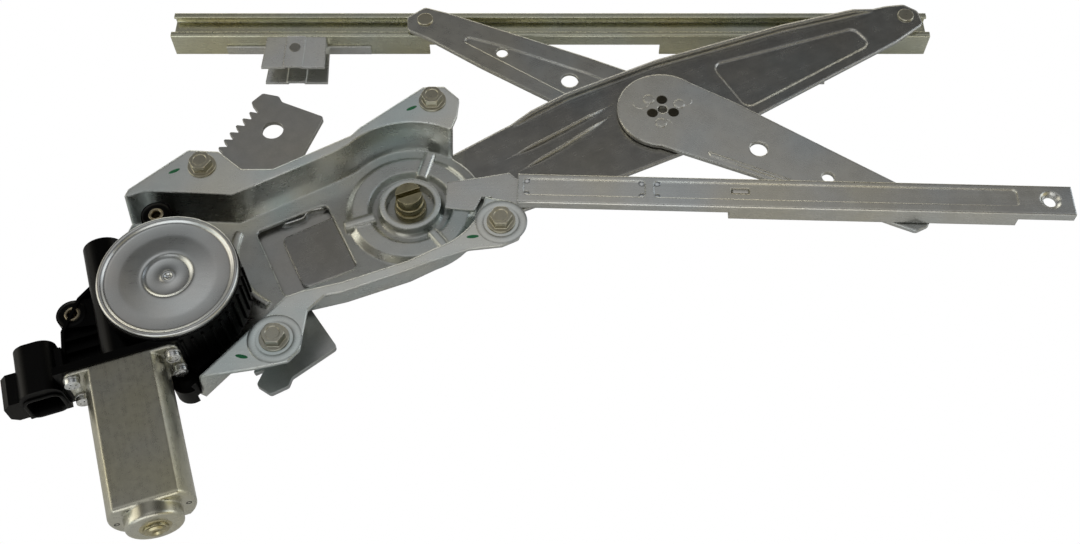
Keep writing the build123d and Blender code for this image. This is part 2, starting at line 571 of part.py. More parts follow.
front_plates, back_plates, feet, clamp_rivets = [], [], [], []
for x in CLAMP_PLACES:
    place = Pos(LIFT_STUD[0] + x, LIFT_STUD[1], 0)
    tab_low = clamp_top - CLAMP_SHEET
    tab_half = CLAMP_WIDTH / 2 - 1
    tab = block((-tab_half, tab_low, LIFT_BACK), (tab_half, clamp_top, LIFT_FRONT - 0.5))
    front_plates.append(place * (clamp_plate(LIFT_FRONT - 0.5) + tab))
    back_plates.append(place * clamp_plate(leg_back + CLAMP_SHEET))
    foot_back = leg_back + CLAMP_SHEET
    foot = block((-FOOT_LENGTH / 2, tab_low, foot_back), (FOOT_LENGTH / 2, clamp_top, LIFT_BACK - 0.2))
    rib_half = CLAMP_RIB / 2
    foot = foot - block((-rib_half, clamp_top - 2, leg_back), (rib_half, clamp_top + 1, leg_back + 3))
    feet.append(place * foot)
    clamp_rivets.append(place * disc((0, clamp_top - 9.0), 3.2, LIFT_FRONT + 0.3, LIFT_FRONT + 0.8))
nodes["clamp_front_plates"] = Compound(children=front_plates)
nodes["clamp_back_plates"] = Compound(children=back_plates)
nodes["clamp_feet"] = Compound(children=feet)
nodes["clamp_studs"] = Compound(children=clamp_rivets)

# Guide rail, open to the back and fixed to the base plate by its strap

GUIDE_WALL_BACK = GUIDE_FRONT - GUIDE_DEPTH
TRACK_BACK = GUIDE_FRONT - TRACK_DEPTH
GUIDE_WEB_BACK = GUIDE_FRONT - RAIL_SHEET
on_guide = Pos(*GUIDE_STUD, 0) * Rot(0, 0, GUIDE_TILT) * Pos(-GUIDE_STUD[0], 0, 0)
half = RAIL_WIDTH / 2
guide = block((GUIDE_LEFT, -half, GUIDE_WALL_BACK), (GUIDE_RIGHT, half, GUIDE_FRONT))
inside = half - RAIL_SHEET
trough = block((GUIDE_LEFT - 1, -inside, GUIDE_WALL_BACK - 1), (GUIDE_RIGHT + 1, inside, GUIDE_WEB_BACK))
guide = guide - trough
track = channel(GUIDE_FRONT, TRACK_BACK, RAIL_SHEET, False, TRACK_LEFT, TRACK_RIGHT)
guide = guide + track
guide = fillet(guide.edges().filter_by(Axis.X).group_by(Axis.Z)[-1], 1.0)
RECESSES = [(GUIDE_LEFT + 3, 120.0), (124.5, 309.0)]
RECESS_WIDTH = 10.0
RECESS_DEPTH = 1.0
for start, end in RECESSES:
    middle, length = (start + end) / 2, end - start
    face = Pos(middle, 1.0) * RectangleRounded(length, RECESS_WIDTH, 2.0)
    guide = guide + slab(offset(face, 0.6), GUIDE_WEB_BACK - RECESS_DEPTH, GUIDE_WEB_BACK)
    guide = guide - slab(face, GUIDE_FRONT - RECESS_DEPTH, GUIDE_FRONT + 1)
STOP_SLOT = (168.5, 9.5, 3.4)
stop_x, stop_length, stop_width = STOP_SLOT
guide = guide - block((stop_x - stop_length / 2, 0.0, -5), (stop_x + stop_length / 2, stop_width, 30))
hole_x = GUIDE_RIGHT - RAIL_HOLE_FROM_END
DIMPLE = 1.6
guide = guide + Pos(hole_x, 0, GUIDE_WEB_BACK - DIMPLE) * Cone(4.8, 6.4, DIMPLE, align=ON_BASE)
guide = guide - Pos(hole_x, 0, GUIDE_FRONT - DIMPLE) * Cone(3.8, 5.4, DIMPLE, align=ON_BASE)
guide = guide - disc((hole_x, 0), RAIL_HOLE_RADIUS, -5, 30)
STRAP_TOP = RING_TOP + RAIL_SHEET
STRAP_OUTLINE = [
    (GUIDE_LEFT + 1, -half), (GUIDE_LEFT + 1, half), (50, 14.5), (37, 11.5), (COLLAR_RADIUS + 2.3, 7.6),
    (COLLAR_RADIUS + 2.3, -8.5), (33.0, -9.8), (36.3, -1.2), (41.5, -0.8), (44, -half),
]
strap = slab(outline(STRAP_OUTLINE), RING_TOP, STRAP_TOP)
riser = block((GUIDE_LEFT, -half, RING_TOP), (GUIDE_LEFT + RAIL_SHEET, half, GUIDE_FRONT - 0.5))
strap = strap + riser
nodes["guide_rail"] = on_guide * (guide + strap)
GUIDE_SLIDER_BACK = TRACK_BACK + RAIL_SHEET + PART_CLEAR
GUIDE_SLIDER_FRONT = GUIDE_WEB_BACK - RECESS_DEPTH - PART_CLEAR
at_guide_stud = Pos(*GUIDE_STUD, 0)
nodes["guide_slider"] = at_guide_stud * Rot(0, 0, GUIDE_TILT) * slider(GUIDE_SLIDER_BACK, GUIDE_SLIDER_FRONT)
nodes["stay_lower_stud"] = at_guide_stud * stud(STAY_LOW_FRONT, STAY_LOW_BACK, GUIDE_SLIDER_FRONT, True)

# Gear housing: a moulded pot over the worm wheel with the worm's tunnel beside it

TUNNEL_RADIUS = 9.5
TUNNEL_END = -36.0
TUNNEL_BORE = 6.6


def tube(radius, start, end, height=MOTOR_HEIGHT):
    """A round bar along the motor shaft."""
    return MOTOR * Pos(start, 0, height) * Rot(0, 90, 0) * Cylinder(radius, end - start, align=ON_BASE)


pot = disc(GEAR, POT_RADIUS, POT_FLOOR - POT_WALL, POT_TOP)
housing = pot + disc(GEAR, 17.0, 0, POT_FLOOR) + tube(TUNNEL_RADIUS, TUNNEL_END, CAN_START - 4)
plate_end = CAN_START - 4
side_plate = outline(
    [(-24, -6), (-16, -17), (0, -27), (21, -29), (plate_end, -29), (plate_end, 17), (0, 20), (-24, 10)], 2.0)
housing = housing + MOTOR * slab(side_plate, POT_FLOOR - POT_WALL, SIDE_TOP)
side_wall = slab(side_plate - offset(side_plate, -SIDE_WALL, kind=Kind.INTERSECTION), SIDE_TOP, SIDE_RIM_TOP)
housing = housing + MOTOR * side_wall
for x in SIDE_RIBS:
    housing = housing + MOTOR * block((x, -26, SIDE_TOP), (x + SIDE_WALL, 0, SIDE_RIM_TOP - 1.0))
flange_size = (CAN_START - plate_end, 56, 27)
flange_face = Box(*flange_size, align=(Align.MIN, Align.CENTER, Align.CENTER))
housing = housing + MOTOR * Pos(plate_end, -1.0, MOTOR_HEIGHT) * flange_face
for x, y, top in LUG_PLACES:
    towards = degrees(atan2(GEAR[1] - y, GEAR[0] - x))
    reach = max(LUG_RADIUS, hypot(GEAR[1] - y, GEAR[0] - x) - POT_RADIUS + POT_WALL)
    lug = disc((x, y), LUG_RADIUS, 0, LUG_TOP)
    bridge = block((0, -LUG_RADIUS, POT_FLOOR - POT_WALL), (reach, LUG_RADIUS, LUG_TOP))
    lug = lug + along((x, y), towards) * bridge
    housing = housing + lug
housing = housing + disc(FOOT_PLACE, FOOT_RADIUS, 0, FOOT_TOP_LEVEL)
wall_start, wall_end = FOOT_LOW[4], FOOT_LOW[5]
wall_angle = degrees(atan2(wall_end[1] - wall_start[1], wall_end[0] - wall_start[0]))
housing = housing - along(wall_start, wall_angle) * block((-5, -PART_CLEAR, -1), (60, 30, EAR_HEIGHT))
housing = housing - disc(GEAR, POT_RADIUS - POT_WALL, POT_FLOOR, POT_TOP + 1)
housing = housing - tube(TUNNEL_BORE, TUNNEL_END + 3, CAN_START + 1)
SHAFT_RADIUS = 5.0
BUSH_WALL = 2.0
housing = housing - disc(GEAR, SHAFT_RADIUS + BUSH_WALL, -1, POT_FLOOR + 1)
inserts, housing_screws = [], []
for x, y, top in LUG_PLACES:
    housing = housing - disc((x, y), INSERT_RADIUS, -1, top)
    inserts.append(disc((x, y), INSERT_RADIUS, 0, top) - disc((x, y), INSERT_BORE, -1, top + 1))
    screw = disc((x, y), INSERT_BORE, FLOOR_BACK, 9.0)
    screw = screw + disc((x, y), INSERT_BORE + 2.2, FLOOR_BACK - 2.4, FLOOR_BACK)
    housing_screws.append(screw - disc((x, y), 1.6, FLOOR_BACK - 3, FLOOR_BACK - 1.2))
nodes["housing_inserts"] = Compound(children=inserts)
nodes["housing_screws"] = Compound(children=housing_screws)

# Stamped cover over the wheel

COVER_INSIDE = COVER_RADIUS - COVER_SHEET
COVER_DROPS = [
    (0, 2.2), (3.2, 2.2), (4.0, 1.0), (12.5, 1.0), (13.5, 1.8), (26.0, 1.8), (27.2, 0),
    (COVER_RADIUS - 1.0, 0), (COVER_RADIUS, 1.0), (COVER_RADIUS, COVER_TOP - POT_TOP),
    (COVER_INSIDE, COVER_TOP - POT_TOP), (COVER_INSIDE, 1.4), (27.0, 1.0), (26.0, 2.8), (13.0, 2.8),
    (12.0, 2.0), (4.6, 2.0), (3.6, 3.2), (0, 3.2),
]
cover_profile = [(radius, COVER_TOP - drop) for radius, drop in COVER_DROPS]
cover = revolve(make_face(Plane.XZ * Polyline(*cover_profile, close=True)), Axis.Z)
nodes["gear_cover"] = Pos(*GEAR, 0) * cover

# Worm wheel and output pinion, which turn together

WHEEL_LOW = MOTOR_HEIGHT - WHEEL_FACE / 2
WHEEL_HIGH = MOTOR_HEIGHT + WHEEL_FACE / 2
wheel_points = []
for i in range(WHEEL_TEETH):
    for share, radius in ((0.0, -1.0), (0.22, -1.0), (0.36, 0.8), (0.64, 0.8), (0.78, -1.0)):
        out = WHEEL_RADIUS - 0.7 + radius * WHEEL_MODULE
        wheel_points.append(polar(out, (i + share) * 360 / WHEEL_TEETH))
wheel = slab(outline(wheel_points), WHEEL_LOW, WHEEL_HIGH)
dishing = disc((0, 0), 19.0, WHEEL_HIGH - 2.5, WHEEL_HIGH + 1)
wheel = wheel - (dishing - disc((0, 0), 9.5, WHEEL_HIGH - 3, WHEEL_HIGH + 2))
wheel = wheel - disc((0, 0), SHAFT_RADIUS, 0, 60)
nodes["worm_wheel"] = Pos(*GEAR, 0) * wheel
pinion_points = []
for i in range(PINION_TEETH):
    turn = PINION_DIRECTION + 180 + i * 360 / PINION_TEETH
    pinion_points += tooth(PINION_TEETH, turn, PINION_TIP, PINION_ROOT, 5)
PINION_TOP = SECTOR_BACK + PINION_FACE
pinion = slab(outline(pinion_points), SECTOR_BACK - 0.8, PINION_TOP)
pinion = pinion + disc((0, 0), SHAFT_RADIUS, PINION_TOP, WHEEL_HIGH + 4)
nodes["output_pinion"] = Pos(*GEAR, 0) * pinion
bush = disc(GEAR, SHAFT_RADIUS + BUSH_WALL, 0.5, POT_FLOOR)
nodes["output_bush"] = bush - disc(GEAR, SHAFT_RADIUS + RUN_CLEAR, -1, POT_FLOOR + 1)
clip = disc(GEAR, SHAFT_RADIUS + 3.0, WHEEL_HIGH, WHEEL_HIGH + 1.2)
nodes["wheel_clip"] = clip - disc(GEAR, SHAFT_RADIUS, 0, 60)

# Motor: drawn can, magnets, armature with worm, commutator, brushes and end bearing


def can_section(shrink=0.0):
    """A circle with a flat above and a flat below."""
    return Circle(CAN_WIDTH / 2 - shrink) & Rectangle(CAN_THICK - 2 * shrink, CAN_WIDTH)


def bar(section, start, end):
    """A prism along the motor shaft; the section's X is the height and its Y the width."""
    return MOTOR * Pos(start, 0, MOTOR_HEIGHT) * Rot(0, 90, 0) * extrude(section, amount=end - start)


can = bar(can_section(), CAN_START, CAN_END)
can = fillet(can.faces().sort_by(Axis.Y)[0].edges(), CAN_ROUNDING)
boss = tube(BOSS_RADIUS, CAN_END - 4, BOSS_END)
can = can + fillet(boss.faces().sort_by(Axis.Y)[0].edges(), CAN_ROUNDING)
can = can + bar(RectangleRounded(CAN_THICK, CAN_WIDTH + FLANGE_REACH, 4.0), CAN_START, CAN_START + CAN_WALL)
hollow = bar(can_section(CAN_WALL), CAN_START - 1, CAN_END - CAN_WALL)
hollow = hollow + tube(BOSS_RADIUS - CAN_WALL, CAN_END - 6, BOSS_END - CAN_WALL)
can = can - hollow
can = can - tube(BEARING_RADIUS, BOSS_END - 3, BOSS_END + 1)
SCREW_SPREAD = CAN_WIDTH / 2 + FLANGE_REACH / 4 + 0.2
SCREW_OFFSETS = [(-SCREW_SPREAD, 8.5), (-SCREW_SPREAD, -8.5), (SCREW_SPREAD, 7.0), (SCREW_SPREAD, -7.0)]
SCREW_RADIUS = 1.9


def on_shaft(width, height, radius, start, end):
    """A round bar beside the motor shaft and parallel to it."""
    spot = Pos(start, width, MOTOR_HEIGHT + height)
    return MOTOR * spot * Rot(0, 90, 0) * Cylinder(radius, end - start, align=ON_BASE)


screws = []
for width, height in SCREW_OFFSETS:
    can = can - on_shaft(width, height, SCREW_RADIUS + 0.1, CAN_START - 1, CAN_START + 3)
    screw = on_shaft(width, height, SCREW_RADIUS, CAN_START - 4, CAN_START + 2.4)
    screw = screw + on_shaft(width, height, 3.7, CAN_START + 1.6, CAN_START + 2.4)
    screw = screw + on_shaft(width, height, 3.4, CAN_START + 2.4, CAN_START + 5.0)
    screws.append(screw)
    housing = housing - on_shaft(width, height, SCREW_RADIUS, CAN_START - 4, CAN_START + 1)
nodes["gear_housing"] = housing
nodes["motor_can"] = can
nodes["motor_screws"] = Compound(children=screws)
SHAFT_THIN = 2.5
shaft = tube(SHAFT_THIN, TUNNEL_END + 4, BOSS_END - CAN_WALL - 0.2) + tube(WORM_RADIUS - 1.0, -13, 13)
nodes["worm_shaft"] = shaft
ARMATURE_RADIUS = 10.0
armature_low, armature_high = CAN_START + 20, CAN_END - 14
nodes["armature_core"] = tube(ARMATURE_RADIUS, armature_low, armature_high) - tube(SHAFT_THIN, 0, CAN_END)
nodes["commutator"] = tube(5.0, CAN_START + 5, CAN_START + 15) - tube(SHAFT_THIN, 0, CAN_END)
bearing = tube(BEARING_RADIUS, BOSS_END - 6, BOSS_END + 1.5)
nodes["motor_bearing"] = bearing - tube(SHAFT_THIN + RUN_CLEAR, 0, BOSS_END - CAN_WALL)
magnet = bar(can_section(CAN_WALL), armature_low, armature_high) - tube(ARMATURE_RADIUS + 0.6, 0, CAN_END)
magnet = magnet - MOTOR * block((0, -8.0, MOTOR_HEIGHT - 30), (CAN_END, 8.0, MOTOR_HEIGHT + 30))
nodes["motor_magnets"] = magnet
holder = bar(can_section(CAN_WALL + 0.2), CAN_START + 2, CAN_START + 4.5)
nodes["brush_holder"] = holder - tube(4.0, 0, CAN_END)
brushes = []
for side in (-1, 1):
    low, high = sorted((side * 5.3, side * 13.0))
    brush = block((CAN_START + 4.5, low, MOTOR_HEIGHT - 2.5), (CAN_START + 12, high, MOTOR_HEIGHT + 2.5))
    brushes.append(MOTOR * brush)
nodes["brushes"] = Compound(children=brushes)

# Connector socket on the housing

socket_y = -38.0
socket_low = MOTOR_HEIGHT - 14.0
socket_high = socket_low + CONNECTOR_HEIGHT
socket_left, socket_right = socket_y - CONNECTOR_WIDTH / 2, socket_y + CONNECTOR_WIDTH / 2
socket = block((10, socket_left, socket_low), (36, socket_right, socket_high))
socket = fillet(socket.edges().filter_by(Axis.X).group_by(Axis.Z)[-1], 7.0)
side_housing = block((20, socket_y - 17, socket_low + 2), (36, socket_y - 7.6, socket_high - 5))
socket = socket + chamfer(side_housing.edges().filter_by(Axis.X).sort_by(Axis.Y)[:2], 3.0)
socket = socket + block((14, socket_y + 8, socket_low + 4), (CAN_START - 4, socket_y + 12, socket_high - 4))
socket = socket - block((16, socket_y - 7.5, socket_low + 2), (40, socket_y + 7.5, socket_high - 6))
socket = MOTOR * socket - housing
pins = []
for side in (-PIN_SPREAD, PIN_SPREAD):
    low_corner = (14, socket_y + side - PIN_THICK / 2, socket_low + 7)
    high_corner = (31, socket_y + side + PIN_THICK / 2, socket_low + 9)
    pin_blade = MOTOR * block(low_corner, high_corner)
    socket = socket - pin_blade
    pins.append(pin_blade)
nodes["connector_socket"] = socket
nodes["connector_pins"] = Compound(children=pins)

# Everything moves together, so that the origin is under the middle of the whole part

boxes = [shape.bounding_box() for shape in nodes.values()]
low = [min(getattr(box.min, axis) for box in boxes) for axis in "XYZ"]
high = [max(getattr(box.max, axis) for box in boxes) for axis in "XYZ"]
shift = Pos(-(low[0] + high[0]) / 2, -(low[1] + high[1]) / 2, -low[2])

if __name__ == "__main__":
    os.makedirs("parts", exist_ok=True)
    for name, shape in nodes.items():
        export_step(shift * shape, f"parts/{name}.step")
    print("shift", tuple(shift.position))
    print("size", [b - a for a, b in zip(low, high)])
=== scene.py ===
import json
from math import atan2, cos, pi, radians, sin, tan

import bmesh
import bpy
from mathutils import Matrix, Vector


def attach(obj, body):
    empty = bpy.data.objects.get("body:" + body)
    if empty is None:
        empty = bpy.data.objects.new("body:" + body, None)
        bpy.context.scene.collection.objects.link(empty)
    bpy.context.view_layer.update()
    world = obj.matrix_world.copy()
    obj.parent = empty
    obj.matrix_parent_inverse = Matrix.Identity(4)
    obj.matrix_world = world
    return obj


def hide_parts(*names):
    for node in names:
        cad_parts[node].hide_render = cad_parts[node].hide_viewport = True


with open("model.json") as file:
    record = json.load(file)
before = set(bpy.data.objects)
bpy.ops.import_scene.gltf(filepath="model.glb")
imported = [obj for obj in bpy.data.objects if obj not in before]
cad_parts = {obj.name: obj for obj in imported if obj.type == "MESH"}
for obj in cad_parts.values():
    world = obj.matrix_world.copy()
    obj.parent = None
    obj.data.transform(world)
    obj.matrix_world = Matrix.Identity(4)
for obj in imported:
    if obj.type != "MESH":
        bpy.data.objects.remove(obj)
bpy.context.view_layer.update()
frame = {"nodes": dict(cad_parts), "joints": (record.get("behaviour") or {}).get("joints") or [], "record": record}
NODES = frame["nodes"]
JOINTS = {joint["name"]: joint for joint in frame["joints"]}

MM = 0.001
# The layout's origin is on the main pivot, at the front face of the base plate's floor.
PIVOT = Vector(JOINTS["main_arm_swing"]["pos_m"])
CENTRE = Vector(JOINTS["stay_arm_swing"]["pos_m"])
GUIDE_STUD = Vector(JOINTS["guide_slider_turn"]["pos_m"])
GEAR = Vector(JOINTS["drive_gear_spin"]["pos_m"])
MOTOR_FOOT = Vector(JOINTS["armature_spin"]["pos_m"])
MOTOR_WAY = Vector(JOINTS["armature_spin"]["axis"]).normalized()
ARM_TURN = atan2((CENTRE - PIVOT).y, (CENTRE - PIVOT).x)
STAY_TURN = atan2((GUIDE_STUD - CENTRE).y, (GUIDE_STUD - CENTRE).x)
MOTOR_TURN = atan2(MOTOR_WAY.y, MOTOR_WAY.x)


def place(x, y, z):
    """A point of the layout in millimetres, as a point of the frame in metres."""
    return PIVOT + Vector((x, y, z)) * MM


def turned(origin, angle):
    """The place of something laid out along X from an origin, turned about Z."""
    return Matrix.Translation(origin) @ Matrix.Rotation(angle, 4, "Z")


ON_MOTOR = turned(MOTOR_FOOT, MOTOR_TURN)
ON_ARM = turned(PIVOT, ARM_TURN)


def colour(code):
    """An sRGB hex value as linear RGBA."""
    parts = [int(code[i:i + 2], 16) / 255 for i in (1, 3, 5)]
    return [c / 12.92 if c <= 0.04045 else ((c + 0.055) / 1.055) ** 2.4 for c in parts] + [1.0]


def add(tree, kind, inputs=None, **settings):
    """One node with its settings; inputs are values or the sockets that feed them."""
    node = tree.nodes.new(kind)
    for name, value in settings.items():
        setattr(node, name, value)
    for name, value in (inputs or {}).items():
        socket = node.inputs[name]
        if isinstance(value, bpy.types.NodeSocket):
            tree.links.new(value, socket)
        else:
            socket.default_value = value
    return node


def ramp(tree, factor, stops):
    """A colour ramp with (position, colour) stops."""
    node = add(tree, "ShaderNodeValToRGB", {"Fac": factor})
    elements = node.color_ramp.elements
    while len(elements) < len(stops):
        elements.new(0.5)
    for element, (position, shade) in zip(elements, stops):
        element.position = position
        element.color = shade if isinstance(shade, list) else (shade, shade, shade, 1.0)
    return node.outputs["Color"]


def new_material(name):
    material = bpy.data.materials.new(name)
    material.use_nodes = True
    tree = material.node_tree
    tree.nodes.clear()
    surface = add(tree, "ShaderNodeBsdfPrincipled")
    add(tree, "ShaderNodeOutputMaterial", {"Surface": surface.outputs[0]})
    return material, tree, surface


def feed(tree, surface, **inputs):
    for name, value in inputs.items():
        socket = surface.inputs[name.replace("_", " ")]
        if isinstance(value, bpy.types.NodeSocket):
            tree.links.new(value, socket)
        else:
            socket.default_value = value


def noise(tree, vector, size_mm, detail=3.0, rough=0.5, stretch=(1.0, 1.0, 1.0), turn=0.0):
    """Noise whose features are about size_mm across; stretch makes them longer along an axis."""
    spread = [1.0 / s for s in stretch]
    mapped = add(tree, "ShaderNodeMapping", {"Vector": vector, "Rotation": (0, 0, -turn)})
    mapped = add(tree, "ShaderNodeMapping", {"Vector": mapped.outputs[0], "Scale": spread})
    return add(tree, "ShaderNodeTexNoise", {
        "Vector": mapped.outputs[0], "Scale": 1.0 / (size_mm * MM),
        "Detail": detail, "Roughness": rough,
    }).outputs["Fac"]


PASSIVATION_MM = 46.0  # across the wide cool and straw patches of the zinc's passivation
PRESSED_RISE = 8.0  # mm above the plate's floor, where its ears' full lean is reached


def eased(tree, edge_mm, floor_lean=0.0, ear_lean=None):
    """The surface's normal with its edges rounded, as pressing leaves them, and tipped some degrees
    towards the front, because no long pressing lies quite flat. Where ear_lean is given, the tip
    grows from the plate's floor up to its raised ears."""
    edge = add(tree, "ShaderNodeBevel", {"Radius": edge_mm * MM}, samples=5)
    lean = -tan(radians(floor_lean))
    if ear_lean is not None:
        where = add(tree, "ShaderNodeTexCoord").outputs["Object"]
        parts = add(tree, "ShaderNodeSeparateXYZ", {0: where})
        lean = add(tree, "ShaderNodeMapRange", {
            "Value": parts.outputs["Z"],
            "From Min": PIVOT.z, "From Max": PIVOT.z + PRESSED_RISE * MM,
            "To Min": lean, "To Max": -tan(radians(ear_lean)),
        }).outputs[0]
    way = add(tree, "ShaderNodeCombineXYZ", {"Y": lean})
    tip = add(tree, "ShaderNodeVectorMath", {0: edge.outputs[0], 1: way.outputs[0]})
    return add(tree, "ShaderNodeVectorMath", {0: tip.outputs[0]}, operation="NORMALIZE").outputs[0]


def zinc(name, base, cool, warm, rough=0.34, grain_turn=0.0, edge_mm=0.8, mottle_mm=9.0,
         lean=0.0, ear_lean=None):
    """Bright zinc plate over cold-rolled steel: a soft grey mirror that the passivation tints
    from cool to straw, with faint rolling lines, fine scratches and a speckle of spangle. The
    rolling lines are drawn 0.9 mm wide and the scratches 0.35 mm, coarser than real ones of
    some hundredths, so that they show."""
    material, tree, surface = new_material(name)
    where = add(tree, "ShaderNodeTexCoord").outputs["Object"]
    cloud = noise(tree, where, mottle_mm, 4.0, 0.6)
    wide = noise(tree, where, PASSIVATION_MM, 2.0, 0.5)
    streak = noise(tree, where, 0.9, 2.0, 0.6, stretch=(40.0, 1.0, 1.0), turn=grain_turn)
    speck = noise(tree, where, 0.55, 2.0, 0.7)
    scratch = noise(tree, where, 0.35, 0.0, 0.5, stretch=(22.0, 1.0, 1.0), turn=grain_turn + 0.5)
    tint = ramp(tree, wide, [(0.30, colour(cool)), (0.5, colour(base)), (0.72, colour(warm))])
    patch = ramp(tree, cloud, [(0.3, 0.90), (0.7, 1.0)])
    grit = ramp(tree, speck, [(0.25, 0.90), (0.6, 1.0)])
    mark = ramp(tree, scratch, [(0.72, 1.0), (0.745, 1.1), (0.77, 1.0)])
    shade = tint
    for layer in (patch, grit, mark):
        mixed = add(tree, "ShaderNodeMix", {"Factor": 1.0}, data_type="RGBA", blend_type="MULTIPLY")
        tree.links.new(shade, mixed.inputs["A"])
        tree.links.new(layer, mixed.inputs["B"])
        shade = mixed.outputs["Result"]
    uneven = add(tree, "ShaderNodeMath", {0: cloud, 1: 0.12, 2: rough - 0.06},
                 operation="MULTIPLY_ADD")
    lined = add(tree, "ShaderNodeMath", {0: streak, 1: 0.10, 2: uneven.outputs[0]},
                operation="MULTIPLY_ADD")
    relief = add(tree, "ShaderNodeMath", {0: streak, 1: 0.4, 2: speck}, operation="MULTIPLY_ADD")
    bump = add(tree, "ShaderNodeBump", {
        "Strength": 0.08, "Distance": 0.0001, "Height": relief.outputs[0],
        "Normal": eased(tree, edge_mm, lean, ear_lean),
    })
    feed(tree, surface, Base_Color=shade, Metallic=1.0, Roughness=lined.outputs[0],
         Normal=bump.outputs[0])
    return material


def turned_steel(name, base, rough=0.25, ring_mm=0.35):
    """Turned and ground steel: fine tool rings and a slightly oily sheen."""
    material, tree, surface = new_material(name)
    where = add(tree, "ShaderNodeTexCoord").outputs["Object"]
    rings = noise(tree, where, ring_mm, 2.0, 0.6, stretch=(40.0, 40.0, 1.0))
    cloud = noise(tree, where, 4.0, 3.0, 0.6)
    shade = ramp(tree, cloud, [(0.3, colour(base[0])), (0.7, colour(base[1]))])
    level = add(tree, "ShaderNodeMath", {0: rings, 1: 0.16, 2: rough - 0.05},
                operation="MULTIPLY_ADD")
    bump = add(tree, "ShaderNodeBump", {
        "Strength": 0.05, "Distance": 0.00005, "Height": rings, "Normal": eased(tree, 0.35, 3.0),
    })
    feed(tree, surface, Base_Color=shade, Metallic=1.0, Roughness=level.outputs[0],
         Normal=bump.outputs[0])
    return material


def moulded(name, base, light, rough=0.42, grit_mm=0.5, sheen=0.5, depth=0.2, translucent=0.0):
    """Injection-moulded plastic: even colour, a fine spark-eroded texture and faint flow marks."""
    material, tree, surface = new_material(name)
    where = add(tree, "ShaderNodeTexCoord").outputs["Object"]
    grit = noise(tree, where, grit_mm, 3.0, 0.6)
    flow = noise(tree, where, 14.0, 3.0, 0.55, stretch=(1.0, 3.0, 1.0))
    shade = ramp(tree, flow, [(0.25, colour(base)), (0.8, colour(light))])
    level = add(tree, "ShaderNodeMath", {0: flow, 1: 0.16, 2: rough - 0.08},
                operation="MULTIPLY_ADD")
    bump = add(tree, "ShaderNodeBump", {"Strength": depth, "Distance": 0.0001, "Height": grit})
    feed(tree, surface, Base_Color=shade, Roughness=level.outputs[0], Specular_IOR_Level=sheen,
         Normal=bump.outputs[0], Subsurface_Weight=translucent, Subsurface_Scale=0.002)
    return material


# The deep-drawn plate: cool grey, darker on its flat floor and brighter on the raised ears
SHEET = zinc("zinc_plated_pressing", "#d4d6d2", "#c6d2d2", "#dad8cc", 0.24, edge_mm=1.6,
             lean=2.0, ear_lean=10.5)
# The glass clamps' folded sheet, all in one even bright grey
CLAMP = zinc("zinc_plated_clamp", "#d8d8d4", "#d1d6d7", "#dad8cc", 0.24, edge_mm=1.0, lean=10.5)
# The guide rail: roll-formed strip, smoother than the pressings
RAIL = zinc("zinc_plated_rolled_section", "#d2d1cb", "#cfd3d3", "#d6d2c4", 0.22, edge_mm=1.0,
            lean=7.5)
# The lift rail: the same strip with a straw tint from a thicker passivation
LIFT = zinc("straw_tinted_rolled_section", "#d2d2bd", "#cdd0c4", "#d8d4b8", 0.22, edge_mm=1.0,
            lean=8.5)
# The toothed sector: fine-blanked thick steel, duller and with crisp edges
BLANK = zinc("zinc_plated_blanked_steel", "#b8b7b3", "#b5b8b8", "#bbb8b0", 0.30, edge_mm=0.3,
             mottle_mm=5.0, lean=6.0)
# The main arm: rolling lines along its length, and flat, so that it mirrors the dark room
ARM_ZINC = zinc("zinc_plated_arm", "#c9c8c4", "#c4c8c8", "#cbc8bf", 0.20, ARM_TURN, edge_mm=1.8,
                lean=1.0)
# The stay's front half, brighter than the arm behind it
STAY_ZINC = zinc("zinc_plated_stay", "#d1d0ca", "#ccd0d0", "#d3d0c5", 0.23, STAY_TURN,
                 edge_mm=1.3, lean=7.5)
# The stay's rear half: the same zinc a shade darker, painted shade for the half that lies behind
STAY_BACK_SHADED = zinc("zinc_plated_stay_back_painted_shade", "#cbcac4", "#c6caca", "#cdcabf", 0.24, STAY_TURN,
                 edge_mm=1.3, lean=4.6)
# The drawn cover: wide soft clouds from the die and sharp steps
COVER = zinc("zinc_plated_drawn_cover", "#cccbc8", "#c8cccc", "#cecbc4", 0.25, edge_mm=0.5,
             mottle_mm=14.0, lean=7.5)
# The motor's deep-drawn can: warm bright zinc, speckled, with draw lines along its length
CAN = zinc("bright_zinc_drawn_can", "#c9c7b9", "#c7c9c2", "#ccc8b0", 0.24, MOTOR_TURN, 1.3,
           mottle_mm=3.0, lean=-1.0)
# Cold-headed bolts and studs with a thin straw passivation
YELLOW = zinc("straw_passivated_bolt_steel", "#c4bfac", "#babab0", "#ccc2a2", 0.25, edge_mm=0.5,
              mottle_mm=2.5, lean=5.0)
# Rivets, rings and screws that were hammered or rolled: greyer and rougher
RIVET = zinc("peened_rivet_steel", "#a4a29c", "#9ea1a1", "#aaa69c", 0.33, edge_mm=0.4,
             mottle_mm=1.5, lean=4.0)
# The three rivets in the stay's disc, whose peened heads have gone brown-black
DARK_RIVET = zinc("oxidised_rivet_steel", "#3d3a33", "#34332f", "#4a4438", 0.45, edge_mm=0.3,
                  mottle_mm=1.0)
# Bright new screws and the small tabs that catch the light
SCREW = zinc("bright_zinc_screw_steel", "#dcdcda", "#d4dade", "#dedad0", 0.22, edge_mm=0.4,
             mottle_mm=1.5, lean=8.0)
# The strip that shows in the plate's window: bright zinc, painted nearly white as a painted highlight
HIGHLIT_STRIP_ZINC = zinc("bright_strip_painted_highlight", "#f2f4f4", "#e6f0f4", "#f4f2e8", 0.17, edge_mm=0.3,
                  mottle_mm=2.0, lean=14.0)
# Turned steel of the pivot pin and shafts, yellowish from oil
STEEL = turned_steel("turned_pin_steel", ("#a39c80", "#bdb594"))
# Brass sleeves and the bush, dull with fine rings
BRONZE = turned_steel("brass_sleeve", ("#8d8470", "#b3a890"), 0.3)
